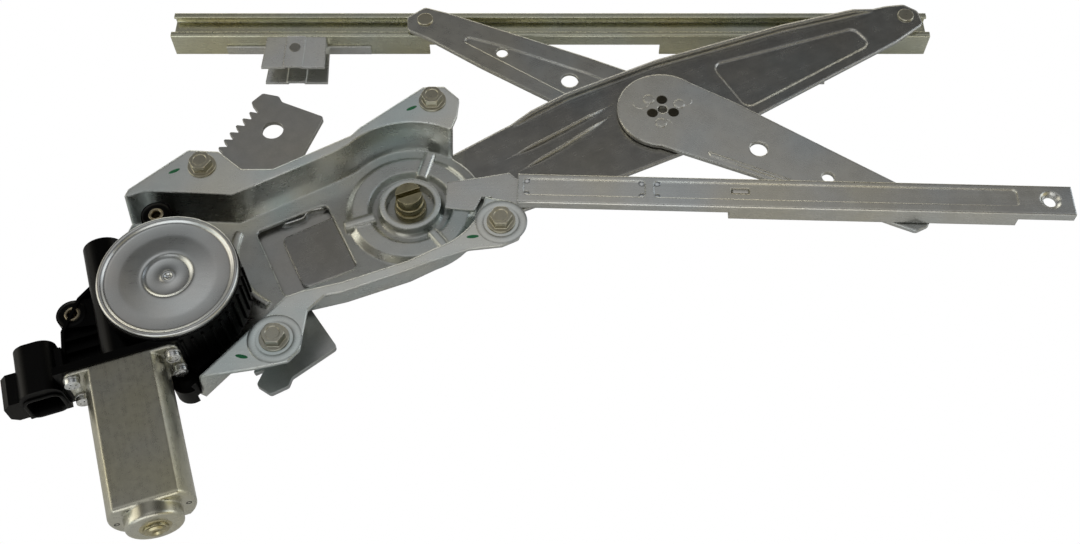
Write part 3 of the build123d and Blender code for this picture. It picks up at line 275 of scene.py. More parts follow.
# The commutator's copper, turned and browned
COPPER = turned_steel("commutator_copper", ("#b0663a", "#c98455"), 0.3)
# Tinned brass of the connector's blades
CONTACT = turned_steel("tinned_contact_brass", ("#b9a468", "#cdbf8d"), 0.3)
# Glass-filled nylon of the housing: black, with a low sheen over spark-eroded grit
BLACK = moulded("black_glass_filled_nylon", "#010101", "#030303", 0.30, sheen=0.09)
# The connector's unfilled plastic, slightly glossier than the housing
SOCKET_BLACK = moulded("black_connector_plastic", "#010101", "#040404", 0.34, sheen=0.12)
# Natural nylon of the sliders: cream and a little translucent
NYLON = moulded("natural_nylon_slider", "#d8d2bd", "#e6e1cf", 0.35, translucent=0.1)
# Natural acetal of the worm wheel: whiter and smoother than nylon
ACETAL = moulded("natural_acetal_wheel", "#dad6c8", "#e9e6da", 0.3, translucent=0.1)
# Brown phenolic card of the brush holder, matt
CARD = moulded("phenolic_brush_card", "#4a3117", "#6a4723", 0.55)
# Pressed carbon of the brushes, matt dark grey
CARBON = moulded("pressed_carbon_brush", "#1b1b1c", "#2c2c2d", 0.6)
# Sintered ferrite of the magnets, dark grey with a fine grain
FERRITE = moulded("sintered_ferrite_magnet", "#232325", "#333335", 0.55)
# Varnished laminations of the armature, purplish brown
LAMINATE = moulded("varnished_laminations", "#3a3433", "#52484a", 0.4)
# Painted shade: near-black for the bottoms of recesses and for the can's crimps, where hardly any light comes out
SHADE_BLACK = moulded("painted_shade_black", "#020202", "#050505", 0.7)
# Dabs of green paint from the last inspection
PAINT = moulded("green_inspection_paint", "#0f5c38", "#1d7a4c", 0.5)

FINISH = {
    "base_plate": SHEET, "ear_bolts": YELLOW, "bolt_retainers": RIVET,
    "main_pivot_pin": STEEL, "pivot_washer": NYLON, "guide_rail": RAIL,
    "gear_housing": BLACK, "housing_inserts": BRONZE, "housing_screws": RIVET,
    "gear_cover": COVER, "output_bush": BRONZE, "motor_can": CAN, "motor_screws": SCREW,
    "motor_bearing": STEEL, "motor_magnets": FERRITE, "brush_holder": CARD, "brushes": CARBON,
    "connector_socket": SOCKET_BLACK, "connector_pins": CONTACT,
    "worm_wheel": ACETAL, "output_pinion": STEEL, "wheel_clip": RIVET,
    "worm_shaft": STEEL, "armature_core": LAMINATE, "commutator": COPPER,
    "main_arm": ARM_ZINC, "sector_gear": BLANK, "sector_rivets": RIVET, "main_arm_stud": YELLOW,
    "stay_arm_lower": STAY_ZINC, "stay_arm_upper": STAY_BACK_SHADED, "stay_hub": RIVET,
    "stay_rivets": STAY_ZINC, "stay_upper_stud": YELLOW, "stay_lower_stud": YELLOW,
    "guide_slider": NYLON, "lift_slider_left": NYLON, "lift_slider_right": NYLON,
    "lift_rail": LIFT, "clamp_front_plates": CLAMP, "clamp_back_plates": CLAMP,
    "clamp_feet": CLAMP, "clamp_studs": RIVET,
}
BODIES = frame["record"]["behaviour"]["bodies"]
BODY_OF = {node: body for body, group in BODIES.items() for node in group}



def wear(obj, material):
    """Gives every slot of an object one material."""
    obj.data.materials.clear()
    obj.data.materials.append(material)


def merged_copy(node):
    """A bmesh of a CAD node with its loose triangles joined and its flat faces made whole."""
    mesh = bmesh.new()
    mesh.from_mesh(NODES[node].data)
    bmesh.ops.remove_doubles(mesh, verts=mesh.verts, dist=2e-6)
    bmesh.ops.dissolve_limit(mesh, angle_limit=radians(0.6), verts=mesh.verts, edges=mesh.edges)
    return mesh


def piece(name, mesh, material, body, smooth=True):
    """Makes an object of a finished mesh, which stands at the origin and rides on a body."""
    data = bpy.data.meshes.new(name)
    if isinstance(mesh, bmesh.types.BMesh):
        mesh.to_mesh(data)
        mesh.free()
    else:
        data = mesh
    if smooth:
        for face in data.polygons:
            face.use_smooth = True
    obj = bpy.data.objects.new(name, data)
    bpy.context.scene.collection.objects.link(obj)
    wear(obj, material)
    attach(obj, body)
    return obj


def soften(obj, width_mm, by_weight=False, segments=2, angle=32):
    """Rolls an object's edges, so that they catch the light as sheared and folded steel does."""
    bevel = obj.modifiers.new("rolled_edges", "BEVEL")
    bevel.width = width_mm * MM
    bevel.segments = segments
    bevel.use_clamp_overlap = True
    bevel.miter_outer = "MITER_ARC"
    if by_weight:
        bevel.limit_method = "WEIGHT"
    else:
        bevel.limit_method = "ANGLE"
        bevel.angle_limit = radians(angle)
    normals = obj.modifiers.new("even_faces", "WEIGHTED_NORMAL")
    normals.weight = 90
    normals.keep_sharp = True


def restated(node, width_mm, material=None, segments=2):
    """A node's own shape again with rolled edges, in place of its sharp triangles."""
    mesh = merged_copy(node)
    obj = piece(node + "_finished", mesh, material or FINISH[node], BODY_OF[node])
    soften(obj, width_mm, segments=segments)
    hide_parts(node)
    return obj


for name, obj in NODES.items():
    wear(obj, FINISH[name])
    for face in obj.data.polygons:
        face.use_smooth = False

# Widths in mm of the rolled edges that each node's pieces get
ROLLED = {
    "base_plate": 0.9, "main_arm": 0.45, "stay_arm_lower": 0.45, "stay_arm_upper": 0.45,
    "guide_rail": 0.3, "lift_rail": 0.35, "sector_gear": 0.12, "motor_can": 0.5,
    "gear_housing": 0.4, "ear_bolts": 0.25, "main_pivot_pin": 0.3, "clamp_front_plates": 0.3,
    "clamp_back_plates": 0.3, "clamp_feet": 0.3, "connector_socket": 0.5, "sector_rivets": 0.3,
    "stay_rivets": 0.25, "main_arm_stud": 0.5, "stay_upper_stud": 0.5, "stay_lower_stud": 0.5,
    "clamp_studs": 0.2, "bolt_retainers": 0.25, "stay_hub": 0.2, "motor_screws": 0.2,
    "housing_screws": 0.2, "housing_inserts": 0.15, "motor_bearing": 0.2, "guide_slider": 0.4,
    "lift_slider_left": 0.4, "lift_slider_right": 0.4,
}
for name, width in ROLLED.items():
    restated(name, width)


def turned_form(profile, at=Matrix(), steps=96):
    """A bmesh of a turned or drawn round form, from (radius, height) points in millimetres."""
    mesh = bmesh.new()
    rings = []
    for radius, height in profile:
        turn = [2 * pi * i / steps for i in range(steps if radius > 0 else 1)]
        points = [Vector((radius * cos(t), radius * sin(t), height)) * MM for t in turn]
        rings.append([mesh.verts.new(at @ point) for point in points])
    for inner, outer in zip(rings, rings[1:]):
        for i in range(steps):
            corners = [inner[i % len(inner)], inner[(i + 1) % len(inner)],
                       outer[(i + 1) % len(outer)], outer[i % len(outer)]]
            unique = list(dict.fromkeys(corners))
            if len(unique) > 2:
                mesh.faces.new(unique)
    bmesh.ops.recalc_face_normals(mesh, faces=mesh.faces)
    return mesh


def lathe(name, profile, at, material, body, steps=96):
    return piece(name, turned_form(profile, at, steps), material, body)


BLOCK_SIDES = ((3, 2, 1, 0), (4, 5, 6, 7), (0, 1, 5, 4), (1, 2, 6, 5), (2, 3, 7, 6), (3, 0, 4, 7))


def box_on(mesh, low, high, at=Matrix(), draft=0.0):
    """Adds a block with drafted sides; low and high are corners in millimetres."""
    verts = []
    for z, inset in ((low[2], 0.0), (high[2], draft)):
        for x, y in ((low[0] + inset, low[1] + inset), (high[0] - inset, low[1] + inset),
                     (high[0] - inset, high[1] - inset), (low[0] + inset, high[1] - inset)):
            verts.append(mesh.verts.new(at @ (Vector((x, y, z)) * MM)))
    for face in BLOCK_SIDES:
        mesh.faces.new([verts[i] for i in face])


def blocks(name, sizes, at, material, body, round_mm=0.3, draft=0.2):
    mesh = bmesh.new()
    for low, high in sizes:
        box_on(mesh, low, high, at, draft)
    obj = piece(name, mesh, material, body)
    soften(obj, round_mm)
    return obj


def facing(spot, way):
    """A place whose Z axis points a given way."""
    return Matrix.Translation(spot) @ Vector(way).to_track_quat("Z", "Y").to_matrix().to_4x4()


UP = Vector((0, 0, 1))


def new_tree(name, inputs):
    """An empty geometry node tree with named inputs and one geometry output."""
    tree = bpy.data.node_groups.new(name, "GeometryNodeTree")
    for label, kind in inputs:
        tree.interface.new_socket(label, in_out="INPUT", socket_type="NodeSocket" + kind)
    tree.interface.new_socket("Pieces", in_out="OUTPUT", socket_type="NodeSocketGeometry")
    return tree, add(tree, "NodeGroupInput").outputs


def end_tree(tree, shape, finish):
    """Ends a tree with real geometry that wears its finish."""
    whole = add(tree, "GeometryNodeRealizeInstances", {"Geometry": shape})
    worn = add(tree, "GeometryNodeSetMaterial", {"Geometry": whole.outputs[0], "Material": finish})
    add(tree, "NodeGroupOutput", {"Pieces": worn.outputs[0]})
    return tree


def fastening_tree():
    """Puts a pattern, such as a screw's head, on every spot: its Z axis follows the spot's way, and
    the spot's turn tells at which angle it stopped."""
    tree, given = new_tree("fastenings_on_spots", [
        ("Spots", "Geometry"), ("Pattern", "Object"), ("Size", "Float"), ("Finish", "Material")])
    way = add(tree, "GeometryNodeInputNamedAttribute", {"Name": "way"}, data_type="FLOAT_VECTOR")
    turn = add(tree, "GeometryNodeInputNamedAttribute", {"Name": "turn"}, data_type="FLOAT")
    upright = add(tree, "FunctionNodeAlignRotationToVector", {"Vector": way.outputs[0]}, axis="Z")
    about = add(tree, "FunctionNodeAxisAngleToRotation", {"Axis": UP, "Angle": turn.outputs[0]})
    stopped = add(tree, "FunctionNodeRotateRotation", {
        "Rotation": upright.outputs[0], "Rotate By": about.outputs[0],
    }, rotation_space="LOCAL")
    pattern = add(tree, "GeometryNodeObjectInfo", {"Object": given["Pattern"]})
    copies = add(tree, "GeometryNodeInstanceOnPoints", {
        "Points": given["Spots"], "Instance": pattern.outputs["Geometry"],
        "Rotation": stopped.outputs[0], "Scale": given["Size"],
    })
    return end_tree(tree, copies.outputs[0], given["Finish"])


def rib_tree():
    """Sets upright ribs round the pot of the housing, at even angles."""
    tree, given = new_tree("ribs_round_the_pot", [
        ("Centre", "Geometry"), ("Count", "Int"), ("Pot Radius", "Float"),
        ("Rib Depth", "Float"), ("Rib Width", "Float"), ("Rib Height", "Float"),
        ("First Angle", "Float"), ("Angle Step", "Float"), ("Finish", "Material")])
    line = add(tree, "GeometryNodeMeshLine", {"Count": given["Count"]})
    step = add(tree, "GeometryNodeInputIndex")
    angle = add(tree, "ShaderNodeMath", {
        0: step.outputs[0], 1: given["Angle Step"], 2: given["First Angle"],
    }, operation="MULTIPLY_ADD")
    about = add(tree, "FunctionNodeAxisAngleToRotation", {"Axis": UP, "Angle": angle.outputs[0]})
    outwards = add(tree, "ShaderNodeCombineXYZ", {"X": given["Pot Radius"]})
    spot = add(tree, "FunctionNodeRotateVector", {
        "Vector": outwards.outputs[0], "Rotation": about.outputs[0]})
    spread = add(tree, "GeometryNodeSetPosition", {
        "Geometry": line.outputs[0], "Position": spot.outputs[0]})
    size = add(tree, "ShaderNodeCombineXYZ", {
        "X": given["Rib Depth"], "Y": given["Rib Width"], "Z": given["Rib Height"]})
    rib = add(tree, "GeometryNodeMeshCube", {"Size": size.outputs[0]})
    copies = add(tree, "GeometryNodeInstanceOnPoints", {
        "Points": spread.outputs[0], "Instance": rib.outputs["Mesh"],
        "Rotation": about.outputs[0]})
    return end_tree(tree, copies.outputs[0], given["Finish"])


def bead_tree():
    """Sweeps a low round bead along lines of points, which fades out at both ends as a bead pressed
    into sheet does."""
    tree, given = new_tree("beads_along_lines", [
        ("Lines", "Geometry"), ("Bead Width", "Float"), ("Bead Height", "Float"), ("Fade", "Float"),
        ("Finish", "Material")])
    curve = add(tree, "GeometryNodeMeshToCurve", {"Mesh": given["Lines"]})
    rounded = add(tree, "GeometryNodeCurveSplineType", {"Curve": curve.outputs[0]},
                  spline_type="CATMULL_ROM")
    fine = add(tree, "GeometryNodeResampleCurve", {"Curve": rounded.outputs[0], "Count": 48})
    level = add(tree, "GeometryNodeSetCurveNormal", {"Curve": fine.outputs[0]}, mode="Z_UP")
    along = add(tree, "GeometryNodeSplineParameter").outputs["Factor"]
    from_middle = add(tree, "ShaderNodeMath", {0: along, 1: 0.5}, operation="SUBTRACT")
    from_middle = add(tree, "ShaderNodeMath", {0: from_middle.outputs[0]}, operation="ABSOLUTE")
    to_end = add(tree, "ShaderNodeMath", {0: 0.5, 1: from_middle.outputs[0]}, operation="SUBTRACT")
    swell = add(tree, "ShaderNodeMapRange", {
        "Value": to_end.outputs[0], "From Max": given["Fade"], "To Min": 0.12,
    }, interpolation_type="SMOOTHERSTEP")
    circle = add(tree, "GeometryNodeCurvePrimitiveCircle", {"Resolution": 16, "Radius": 1.0})
    half = add(tree, "ShaderNodeMath", {0: given["Bead Width"], 1: 0.5}, operation="MULTIPLY")
    flat = add(tree, "ShaderNodeCombineXYZ", {
        "X": given["Bead Height"], "Y": half.outputs[0], "Z": 1.0})
    arch = add(tree, "GeometryNodeTransform", {
        "Geometry": circle.outputs[0], "Scale": flat.outputs[0]})
    bead = add(tree, "GeometryNodeCurveToMesh", {
        "Curve": level.outputs[0], "Profile Curve": arch.outputs[0],
        "Scale": swell.outputs[0], "Fill Caps": True})
    return end_tree(tree, bead.outputs[0], given["Finish"])


FASTENINGS = fastening_tree()
RIBS = rib_tree()
BEADS = bead_tree()


def grown(name, tree, start, inputs, body, finish):
    """Runs a tree on a starting mesh with its inputs set, and makes a plain piece of it."""
    holder = bpy.data.objects.new(name + "_start", start)
    bpy.context.scene.collection.objects.link(holder)
    modifier = holder.modifiers.new("grown", "NODES")
    modifier.node_group = tree
    sockets = tree.interface.items_tree
    given = {item.name: item.identifier for item in sockets if item.in_out == "INPUT"}
    for label, value in {"Finish": finish, **inputs}.items():
        modifier[given[label]] = value
    graph = bpy.context.evaluated_depsgraph_get()
    data = bpy.data.meshes.new_from_object(holder.evaluated_get(graph), depsgraph=graph)
    holder.modifiers.remove(modifier)
    bpy.data.objects.remove(holder)
    whole = bmesh.new()
    whole.from_mesh(data)
    bmesh.ops.recalc_face_normals(whole, faces=whole.faces)
    return piece(name, whole, finish, body)


def fastenings(name, pattern, spots, finish, body):
    """Copies of a small form on spots; each spot is (point, way of its axis, turn about it)."""
    form = bpy.data.meshes.new(name + "_pattern")
    pattern.to_mesh(form)
    pattern.free()
    pattern_object = bpy.data.objects.new(name + "_pattern", form)
    start = bpy.data.meshes.new(name + "_spots")
    start.from_pydata([spot for spot, way, turn in spots], [], [])
    ways = start.attributes.new("way", "FLOAT_VECTOR", "POINT")
    ways.data.foreach_set("vector", [part for spot, way, turn in spots for part in way])
    turns = start.attributes.new("turn", "FLOAT", "POINT")
    turns.data.foreach_set("value", [turn for spot, way, turn in spots])
    inputs = {"Pattern": pattern_object, "Size": 1.0}
    made = grown(name, FASTENINGS, start, inputs, body, finish)
    bpy.data.objects.remove(pattern_object)
    return made


def beads(name, lines, width, height, at, finish, body, fade=0.12):
    """Round beads along lines of points in millimetres."""
    points, edges = [], []
    for line in lines:
        edges += [(len(points) + i, len(points) + i + 1) for i in range(len(line) - 1)]
        points += [at @ (Vector(point) * MM) for point in line]
    start = bpy.data.meshes.new(name + "_lines")
    start.from_pydata(points, edges, [])
    sizes = {"Bead Width": width * MM, "Bead Height": height * MM, "Fade": fade}
    return grown(name, BEADS, start, sizes, body, finish)


# The gear cover, drawn in concentric steps round a centre dimple

COVER_TOP = 41.5
AT_GEAR = Matrix.Translation(Vector((GEAR.x, GEAR.y, PIVOT.z)))
COVER_RINGS = [
    (0, -2.9), (0.8, -2.9), (1.2, -2.5), (1.7, -1.7), (2.6, -1.5), (3.4, -1.9), (4.4, -2.2),
    (9.4, -2.2), (10.4, -1.95), (11.2, -1.1), (12.0, -0.65), (13.0, -0.6), (14.2, -0.72),
    (20.6, -1.5), (21.8, -1.7), (23.0, -1.75), (28.2, -1.75), (29.1, -1.65), (29.7, -1.0),
    (30.2, -0.35), (30.8, -0.06), (31.4, 0.0), (32.1, -0.2), (32.5, -0.8), (32.6, -1.6),
    (32.6, -3.3), (31.0, -3.45),
]
cover = lathe("gear_cover_finished", [(r, COVER_TOP + z) for r, z in COVER_RINGS], AT_GEAR,
              COVER, "base", steps=160)
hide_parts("gear_cover")

# Ribs, rims and fixings of the moulded housing

RIB_MIDDLE = 24.5  # mm, half-way up the ribs
ribs = grown("pot_ribs", RIBS, bpy.data.meshes.new("pot_centre"), {
    "Count": 14, "Pot Radius": 33.35 * MM, "Rib Depth": 1.1 * MM, "Rib Width": 1.4 * MM,
    "Rib Height": 21.0 * MM, "First Angle": radians(-98), "Angle Step": radians(8.5),
}, "base", BLACK)
ribs.data.transform(Matrix.Translation(Vector((GEAR.x, GEAR.y, PIVOT.z + RIB_MIDDLE * MM))))
soften(ribs, 0.25)
TUNNEL_END = -36.0
CAP_RINGS = [(0, 1.5), (2.2, 1.4), (3.0, 0.9), (5.2, 1.6), (7.4, 1.3), (8.8, 0.4), (9.4, -0.8),
             (9.5, -2.0)]
lathe("tunnel_cap", CAP_RINGS, facing(ON_MOTOR @ (Vector((TUNNEL_END, 0, 0)) * MM), -MOTOR_WAY),
      BLACK, "base")
LUG_SPOTS = [(-124.5, -15.0, 18.0), (-155.0, -72.0, 18.0), (-90.5, -93.5, 11.0)]
LUGS = [(place(x, y, top), UP, 0.0) for x, y, top in LUG_SPOTS]
COLLAR_RINGS = [(7.4, -2.0), (7.3, -0.4), (6.8, 0.15), (5.0, 0.25), (4.0, 0.2), (3.5, -0.2)]
SLEEVE_RINGS = [(2.3, -3.0), (2.4, 0.1), (2.7, 0.4), (3.3, 0.4), (3.6, 0.15), (3.7, -1.0)]
fastenings("lug_collars", turned_form(COLLAR_RINGS, steps=48), LUGS, BLACK, "base")
fastenings("lug_sleeves", turned_form(SLEEVE_RINGS, steps=48), LUGS, BRONZE, "base")

# The rounded lip round the connector's mouth, whose middle lies to the side of the motor's shaft

MOUTH_END, MOUTH_SIDE, MOUTH_HEIGHT = 36.0, -38.0, -5.0
MOUTH_WIDE, MOUTH_HIGH, MOUTH_CORNER = 17.6, 16.6, 4.6
# (how far the outline is drawn in, how far beyond the socket's end)
LIP_STEPS = [(0.6, -0.6), (0.0, -0.1), (0.0, 0.7), (0.35, 1.1), (1.15, 1.1), (1.6, 0.7),
             (1.75, -5.0)]


def rounded_square(inset, end):
    """Points of the mouth's outline, drawn in by an inset, beyond the socket's end."""
    wide, high = MOUTH_WIDE / 2 - inset, MOUTH_HIGH / 2 - inset
    corner = MOUTH_CORNER - inset
    points = []
    for quarter, (side, rise) in enumerate(((1, 1), (-1, 1), (-1, -1), (1, -1))):
        for step in range(7):
            turn = radians(90 * quarter + 15 * step)
            across = side * (wide - corner) + corner * cos(turn)
            up = rise * (high - corner) + corner * sin(turn)
            points.append(Vector((MOUTH_END + end, MOUTH_SIDE + across, MOUTH_HEIGHT + up)) * MM)
    return points


lip = bmesh.new()
loops = [[lip.verts.new(ON_MOTOR @ point) for point in rounded_square(inset, end)]
         for inset, end in LIP_STEPS]
for outer, inner in zip(loops, loops[1:]):
    for i in range(len(outer)):
        after = (i + 1) % len(outer)
        lip.faces.new((outer[i], outer[after], inner[after], inner[i]))
bmesh.ops.recalc_face_normals(lip, faces=lip.faces)
piece("connector_lip", lip, SOCKET_BLACK, "base")

# Pan-head screws with split washers, which hold the motor's flange

CAN_START = 33.6
SCREW_SPOTS = [(-22.35, 8.5), (-22.35, -8.5), (22.35, 7.0), (22.35, -7.0)]
HEAD_RINGS = [(0, 3.1), (1.2, 3.05), (2.3, 2.75), (3.1, 2.1), (3.4, 1.3), (3.4, 0.3), (3.0, 0.1)]
WASHER_RINGS = [(2.1, 0.05), (3.6, 0.1), (3.75, -0.1), (3.75, -0.75), (3.6, -0.9), (2.1, -0.9)]
FLANGE = CAN_START + 2.4
SCREWS = [(ON_MOTOR @ (Vector((FLANGE, width, height)) * MM), MOTOR_WAY, 0.6 + index)
          for index, (width, height) in enumerate(SCREW_SPOTS)]
fastenings("screw_heads", turned_form(HEAD_RINGS, steps=48), SCREWS, SCREW, "base")
fastenings("split_washers", turned_form(WASHER_RINGS, steps=48), SCREWS, RIVET, "base")
cross = bmesh.new()
box_on(cross, (-1.9, -0.35, 2.2), (1.9, 0.35, 3.02), draft=0.1)
box_on(cross, (-0.35, -1.9, 2.2), (0.35, 1.9, 3.02), draft=0.1)
# The cross recesses are near-black blocks sunk in the heads: painted shade
soften(fastenings("cross_recesses", cross, SCREWS, SHADE_BLACK, "base"), 0.1)

# The can's end: bearing boss with a hollow nub, and the crimps round it

CAN_END, BOSS_END = 105.6, 112.1
at_end = facing(ON_MOTOR @ (Vector((BOSS_END, 0, 0)) * MM), MOTOR_WAY)
NUB_RINGS = [(0, 0.6), (1.3, 0.9), (2.0, 2.4), (3.0, 2.7), (3.9, 2.3), (4.4, 0.8), (5.6, 0.3),
             (6.6, 0.35), (7.2, -0.2)]
lathe("bearing_nub", NUB_RINGS, at_end, STEEL, "base", steps=64)
CRIMP_SIDE, CRIMP_HEIGHT = 15.4, 10.4
CRIMP_RINGS = [(0, -0.25), (0.55, -0.15), (0.9, 0.12), (1.2, 0.06), (1.3, -0.3)]
crimp_spots = [Vector((CAN_END, CRIMP_SIDE * sin(turn), CRIMP_HEIGHT * cos(turn))) * MM
               for turn in [radians(30 + 60 * index) for index in range(6)]]
# The crimps are near-black dimples: painted shade
fastenings("crimps", turned_form(CRIMP_RINGS, steps=24),
           [(ON_MOTOR @ spot, MOTOR_WAY, 0.0) for spot in crimp_spots], SHADE_BLACK, "base")

# The strip along the arm's tail that shows in the plate's window

STRIP = [(-67.0, -6.8), (-56.5, -2.4), (-53.6, 1.6), (-44.5, 4.6)]
TAIL_FRONT = -2.95
AT_PIVOT = Matrix.Translation(PIVOT)
strip_lines = [[(x - 0.35 * shift, y + shift, TAIL_FRONT) for x, y in STRIP]
               for shift in (-2.0, 2.2)]
# The strip's nearly white zinc is partly a painted highlight
beads("tail_strip", strip_lines, 5.0, 0.6, AT_PIVOT, HIGHLIT_STRIP_ZINC, "main_arm")

# Long beads pressed into the main arm between the pivot and the stay

ARM_BEADS = [
    [(58.0, 9.5, -3.0), (84.0, 11.5, -3.0), (112.0, 15.0, -3.0), (128.0, 17.5, -3.0)],
    [(60.0, -1.0, -3.0), (86.0, 2.5, -3.0), (110.0, 7.5, -3.0), (124.0, 11.0, -3.0)],
]
beads("arm_beads", ARM_BEADS, 5.0, 1.0, ON_ARM, ARM_ZINC, "main_arm", 0.3)

# Marks on the stay's disc: three dark peened rivets round the hole, and three press marks

DISC_FRONT = 0.5
PEENED_RINGS = [(0, 0.12), (0.7, 0.30), (1.2, 0.16), (1.8, 0.30), (2.4, 0.34), (2.9, 0.12),
                (3.1, -0.1)]
AT_DISC = Matrix.Translation(Vector((CENTRE.x, CENTRE.y, PIVOT.z)))
PEENED = [(AT_DISC @ (Vector((x, y, DISC_FRONT)) * MM), UP, 0.0)
          for x, y in ((0.0, 6.6), (-5.6, -2.6), (5.9, -2.2))]
fastenings("peened_rivets", turned_form(PEENED_RINGS, steps=40), PEENED, DARK_RIVET, "stay_arm")
MARK_RADIUS = 4.3
arcs = []
for x, y, first in ((-11.6, 4.6, 175), (12.2, 6.4, 190), (1.0, -11.6, 20)):
    turns = [radians(first + step) for step in range(0, 181, 30)]
    arcs.append([(x + MARK_RADIUS * cos(t), y + MARK_RADIUS * sin(t), DISC_FRONT) for t in turns])
beads("press_marks", arcs, 0.7, 0.16, AT_DISC, SCREW, "stay_arm")

# Shallow round pads pressed up under the right and lower ears' bolts

PAD_RINGS = [(13.0, -0.1), (12.7, 0.1), (12.2, 0.22), (9.6, 0.22), (8.9, 0.1), (8.4, -0.1)]
EAR_HEIGHT = 20.0
PADS = [(place(x, y, EAR_HEIGHT), UP, 0.0) for x, y in ((47.3, -20.6), (-57.3, -86.2))]
fastenings("ear_pads", turned_form(PAD_RINGS, steps=72), PADS, SHEET, "base")

# Spring clip with its leg and screw at the pot's side, which catch the light

CLIP_TURN = Matrix.Rotation(radians(38), 4, "Z")
CLIP_FORM = [((-2.6, -1.4, 0.0), (2.6, 1.4, 1.1)), ((-2.9, -3.2, -1.5), (2.9, -1.4, 0.7))]
blocks("pot_clip", CLIP_FORM, Matrix.Translation(place(-82.4, -80.2, 29.5)) @ CLIP_TURN, SCREW,
       "base", 0.25)
blocks("clip_leg", [((-1.2, -1.0, 0.0), (1.2, 1.0, 13.0))],
       Matrix.Translation(place(-82.6, -81.6, 16.2)) @ CLIP_TURN, BLACK, "base",
       0.2)
lathe("clip_screw", HEAD_RINGS, facing(place(-84.6, -83.5, 15.0), Vector((0.3, -0.75, 0.6))),
      SCREW, "base", 40)

# The lanced tab in the guide rail's recess, and the coined corners where the recesses end

GUIDE_TURN = radians(-1.65)
ON_GUIDE = turned(Vector((GUIDE_STUD.x, GUIDE_STUD.y, PIVOT.z)), GUIDE_TURN)
guide_origin = -(GUIDE_STUD - PIVOT).x / MM
TAB_LOW, TAB_HIGH = (guide_origin + 164.6, 0.35, 9.6), (guide_origin + 173.0, 3.05, 10.6)
blocks("lanced_tab", [(TAB_LOW, TAB_HIGH)], ON_GUIDE, SCREW, "base", 0.3)
CORNER_FRONT = 11.35
COINED = [(ON_GUIDE @ (Vector((guide_origin + x, y, CORNER_FRONT)) * MM), UP, 0.0) for x, y in (
    (59.6, 5.1), (59.6, -3.2), (118.4, 4.9), (118.4, -3.0), (126.3, -3.2), (126.3, 5.0))]
CORNER_RINGS = [(0, 0.22), (0.7, 0.2), (1.3, 0.08), (1.7, -0.1)]
fastenings("coined_corners", turned_form(CORNER_RINGS, steps=24), COINED, SCREW, "base")

# Green dabs of inspection paint

DABS = [(place(x, y, EAR_HEIGHT), UP, turn) for x, y, turn in (
    (-118.7, 10.2, 0.5), (-0.7, 50.9, 0.5), (33.5, -29.4, 0.1), (-71.4, -95.6, -0.2))]
OVAL = Matrix.Diagonal((2.3, 0.75, 1, 1))
DAB_RINGS = [(0, 0.06), (0.9, 0.05), (1.2, 0.03), (1.4, -0.02)]
fastenings("paint_dabs", turned_form(DAB_RINGS, OVAL, 24), DABS, PAINT, "base")

# The stage: a white table and room that the camera sees as plain white

WHITE = (1.0, 1.0, 1.0, 1.0)


def room():
    world = bpy.data.worlds.new("studio")
    bpy.context.scene.world = world
    world.use_nodes = True
    tree = world.node_tree
    tree.nodes.clear()
    way = add(tree, "ShaderNodeTexCoord").outputs["Generated"]
    parts = add(tree, "ShaderNodeSeparateXYZ", {0: way})
    height = add(tree, "ShaderNodeMapRange", {
        "Value": parts.outputs["Z"], "From Min": -1.0, "From Max": 1.0})
    # White walls, a dark band above them and a bright ceiling, for the zinc to mirror
    sky = ramp(tree, height.outputs[0], [
        (0.49, 0.95), (0.58, 0.95), (0.66, 0.55), (0.74, 0.11), (0.86, 0.065), (0.91, 0.10),
        (0.945, 0.22), (0.975, 0.54), (1.0, 0.72),
    ])
    drift = add(tree, "ShaderNodeTexNoise", {"Vector": way, "Scale": 1.6, "Detail": 1.0})
    cast = ramp(tree, drift.outputs["Fac"], [
        (0.34, colour("#c3dde2")), (0.44, colour("#f6f6f6")), (0.56, colour("#fbf8f2")),
        (0.66, colour("#efe2b4")),
    ])
    low = ramp(tree, height.outputs[0], [(0.70, 1.0), (0.86, 0.0)])
    tinted = add(tree, "ShaderNodeMix", {"Factor": low}, data_type="RGBA", blend_type="MULTIPLY")
    tree.links.new(sky, tinted.inputs["A"])
    tree.links.new(cast, tinted.inputs["B"])
    seen = add(tree, "ShaderNodeLightPath").outputs["Is Camera Ray"]
    shade = add(tree, "ShaderNodeMix", {"Factor": seen, "B": WHITE}, data_type="RGBA")
    tree.links.new(tinted.outputs["Result"], shade.inputs["A"])
    light = add(tree, "ShaderNodeBackground", {"Color": shade.outputs["Result"], "Strength": 1.0})
    add(tree, "ShaderNodeOutputWorld", {"Surface": light.outputs[0]})


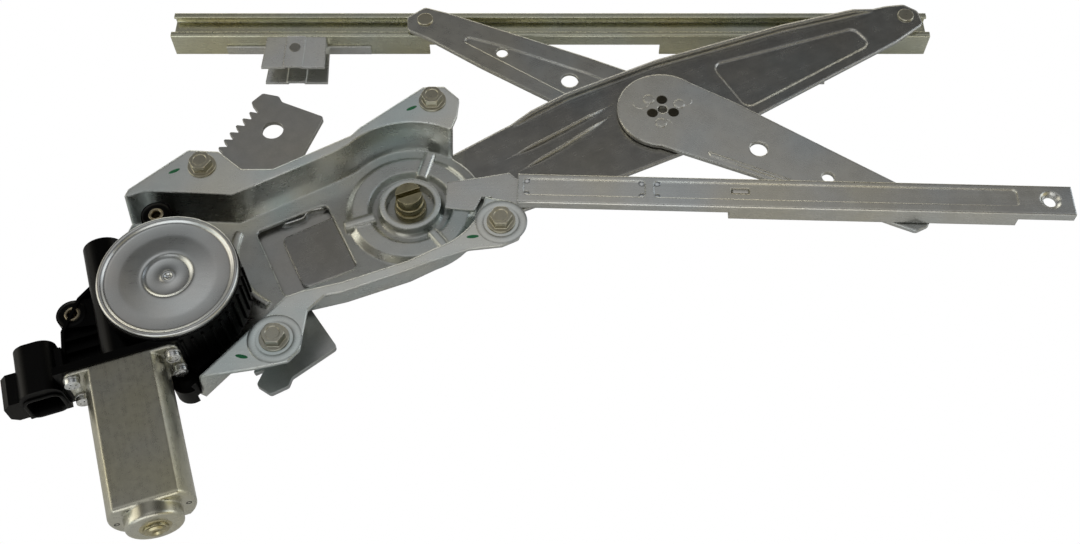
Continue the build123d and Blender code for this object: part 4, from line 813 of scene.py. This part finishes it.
def table():
    material, tree, surface = new_material("white_table")
    feed(tree, surface, Base_Color=colour("#f2f2f2"), Roughness=0.7)
    seen = add(tree, "ShaderNodeLightPath").outputs["Is Camera Ray"]
    white = add(tree, "ShaderNodeEmission", {"Color": WHITE, "Strength": 1.0})
    mixed = add(tree, "ShaderNodeMixShader", {0: seen, 1: surface.outputs[0], 2: white.outputs[0]})
    output = next(n for n in tree.nodes if n.type == "OUTPUT_MATERIAL")
    tree.links.new(mixed.outputs[0], output.inputs["Surface"])
    mesh = bmesh.new()
    bmesh.ops.create_grid(mesh, x_segments=1, y_segments=1, size=3.0)
    data = bpy.data.meshes.new("table")
    mesh.to_mesh(data)
    mesh.free()
    obj = bpy.data.objects.new("table", data)
    obj.location.z = -0.0005
    bpy.context.scene.collection.objects.link(obj)
    data.materials.append(material)


def lamp(name, position, target, size, power, tint="#ffffff"):
    data = bpy.data.lights.new(name, "AREA")
    data.shape = "RECTANGLE"
    data.size, data.size_y = size
    data.energy = power
    data.color = colour(tint)[:3]
    obj = bpy.data.objects.new(name, data)
    obj.location = position
    obj.rotation_euler = (Vector(target) - Vector(position)).to_track_quat("-Z", "Y").to_euler()
    bpy.context.scene.collection.objects.link(obj)


room()
table()
MIDDLE = place(66.5, -37.5, 0)
lamp("softbox_left", MIDDLE + Vector((-1.4, -0.2, 0.55)), MIDDLE, (1.0, 1.2), 5, "#fff7e2")
lamp("softbox_right", MIDDLE + Vector((1.4, 0.1, 0.55)), MIDDLE, (1.0, 1.2), 5, "#eaf3ff")
lamp("strip_back", MIDDLE + Vector((-0.3, 1.5, 0.38)), MIDDLE, (2.0, 0.6), 5, "#fffbea")
lamp("strip_front", MIDDLE + Vector((-0.2, -1.3, 0.5)), MIDDLE, (1.6, 0.8), 5)

# The camera stands where the photograph was taken from

CAMERA_RISE = radians(58.4)
CAMERA_DISTANCE = 0.625
lens = bpy.data.cameras.new("photo_camera")
lens.sensor_width = 36.0
lens.lens = 36.0 * 1250.0 / 1080.0
camera = bpy.data.objects.new("photo_camera", lens)
camera.location = MIDDLE + Vector((0, -cos(CAMERA_RISE), sin(CAMERA_RISE))) * CAMERA_DISTANCE
camera.rotation_euler = (pi / 2 - CAMERA_RISE, 0, 0)
bpy.context.scene.collection.objects.link(camera)
bpy.context.scene.camera = camera
bpy.context.scene.view_settings.view_transform = "Standard"
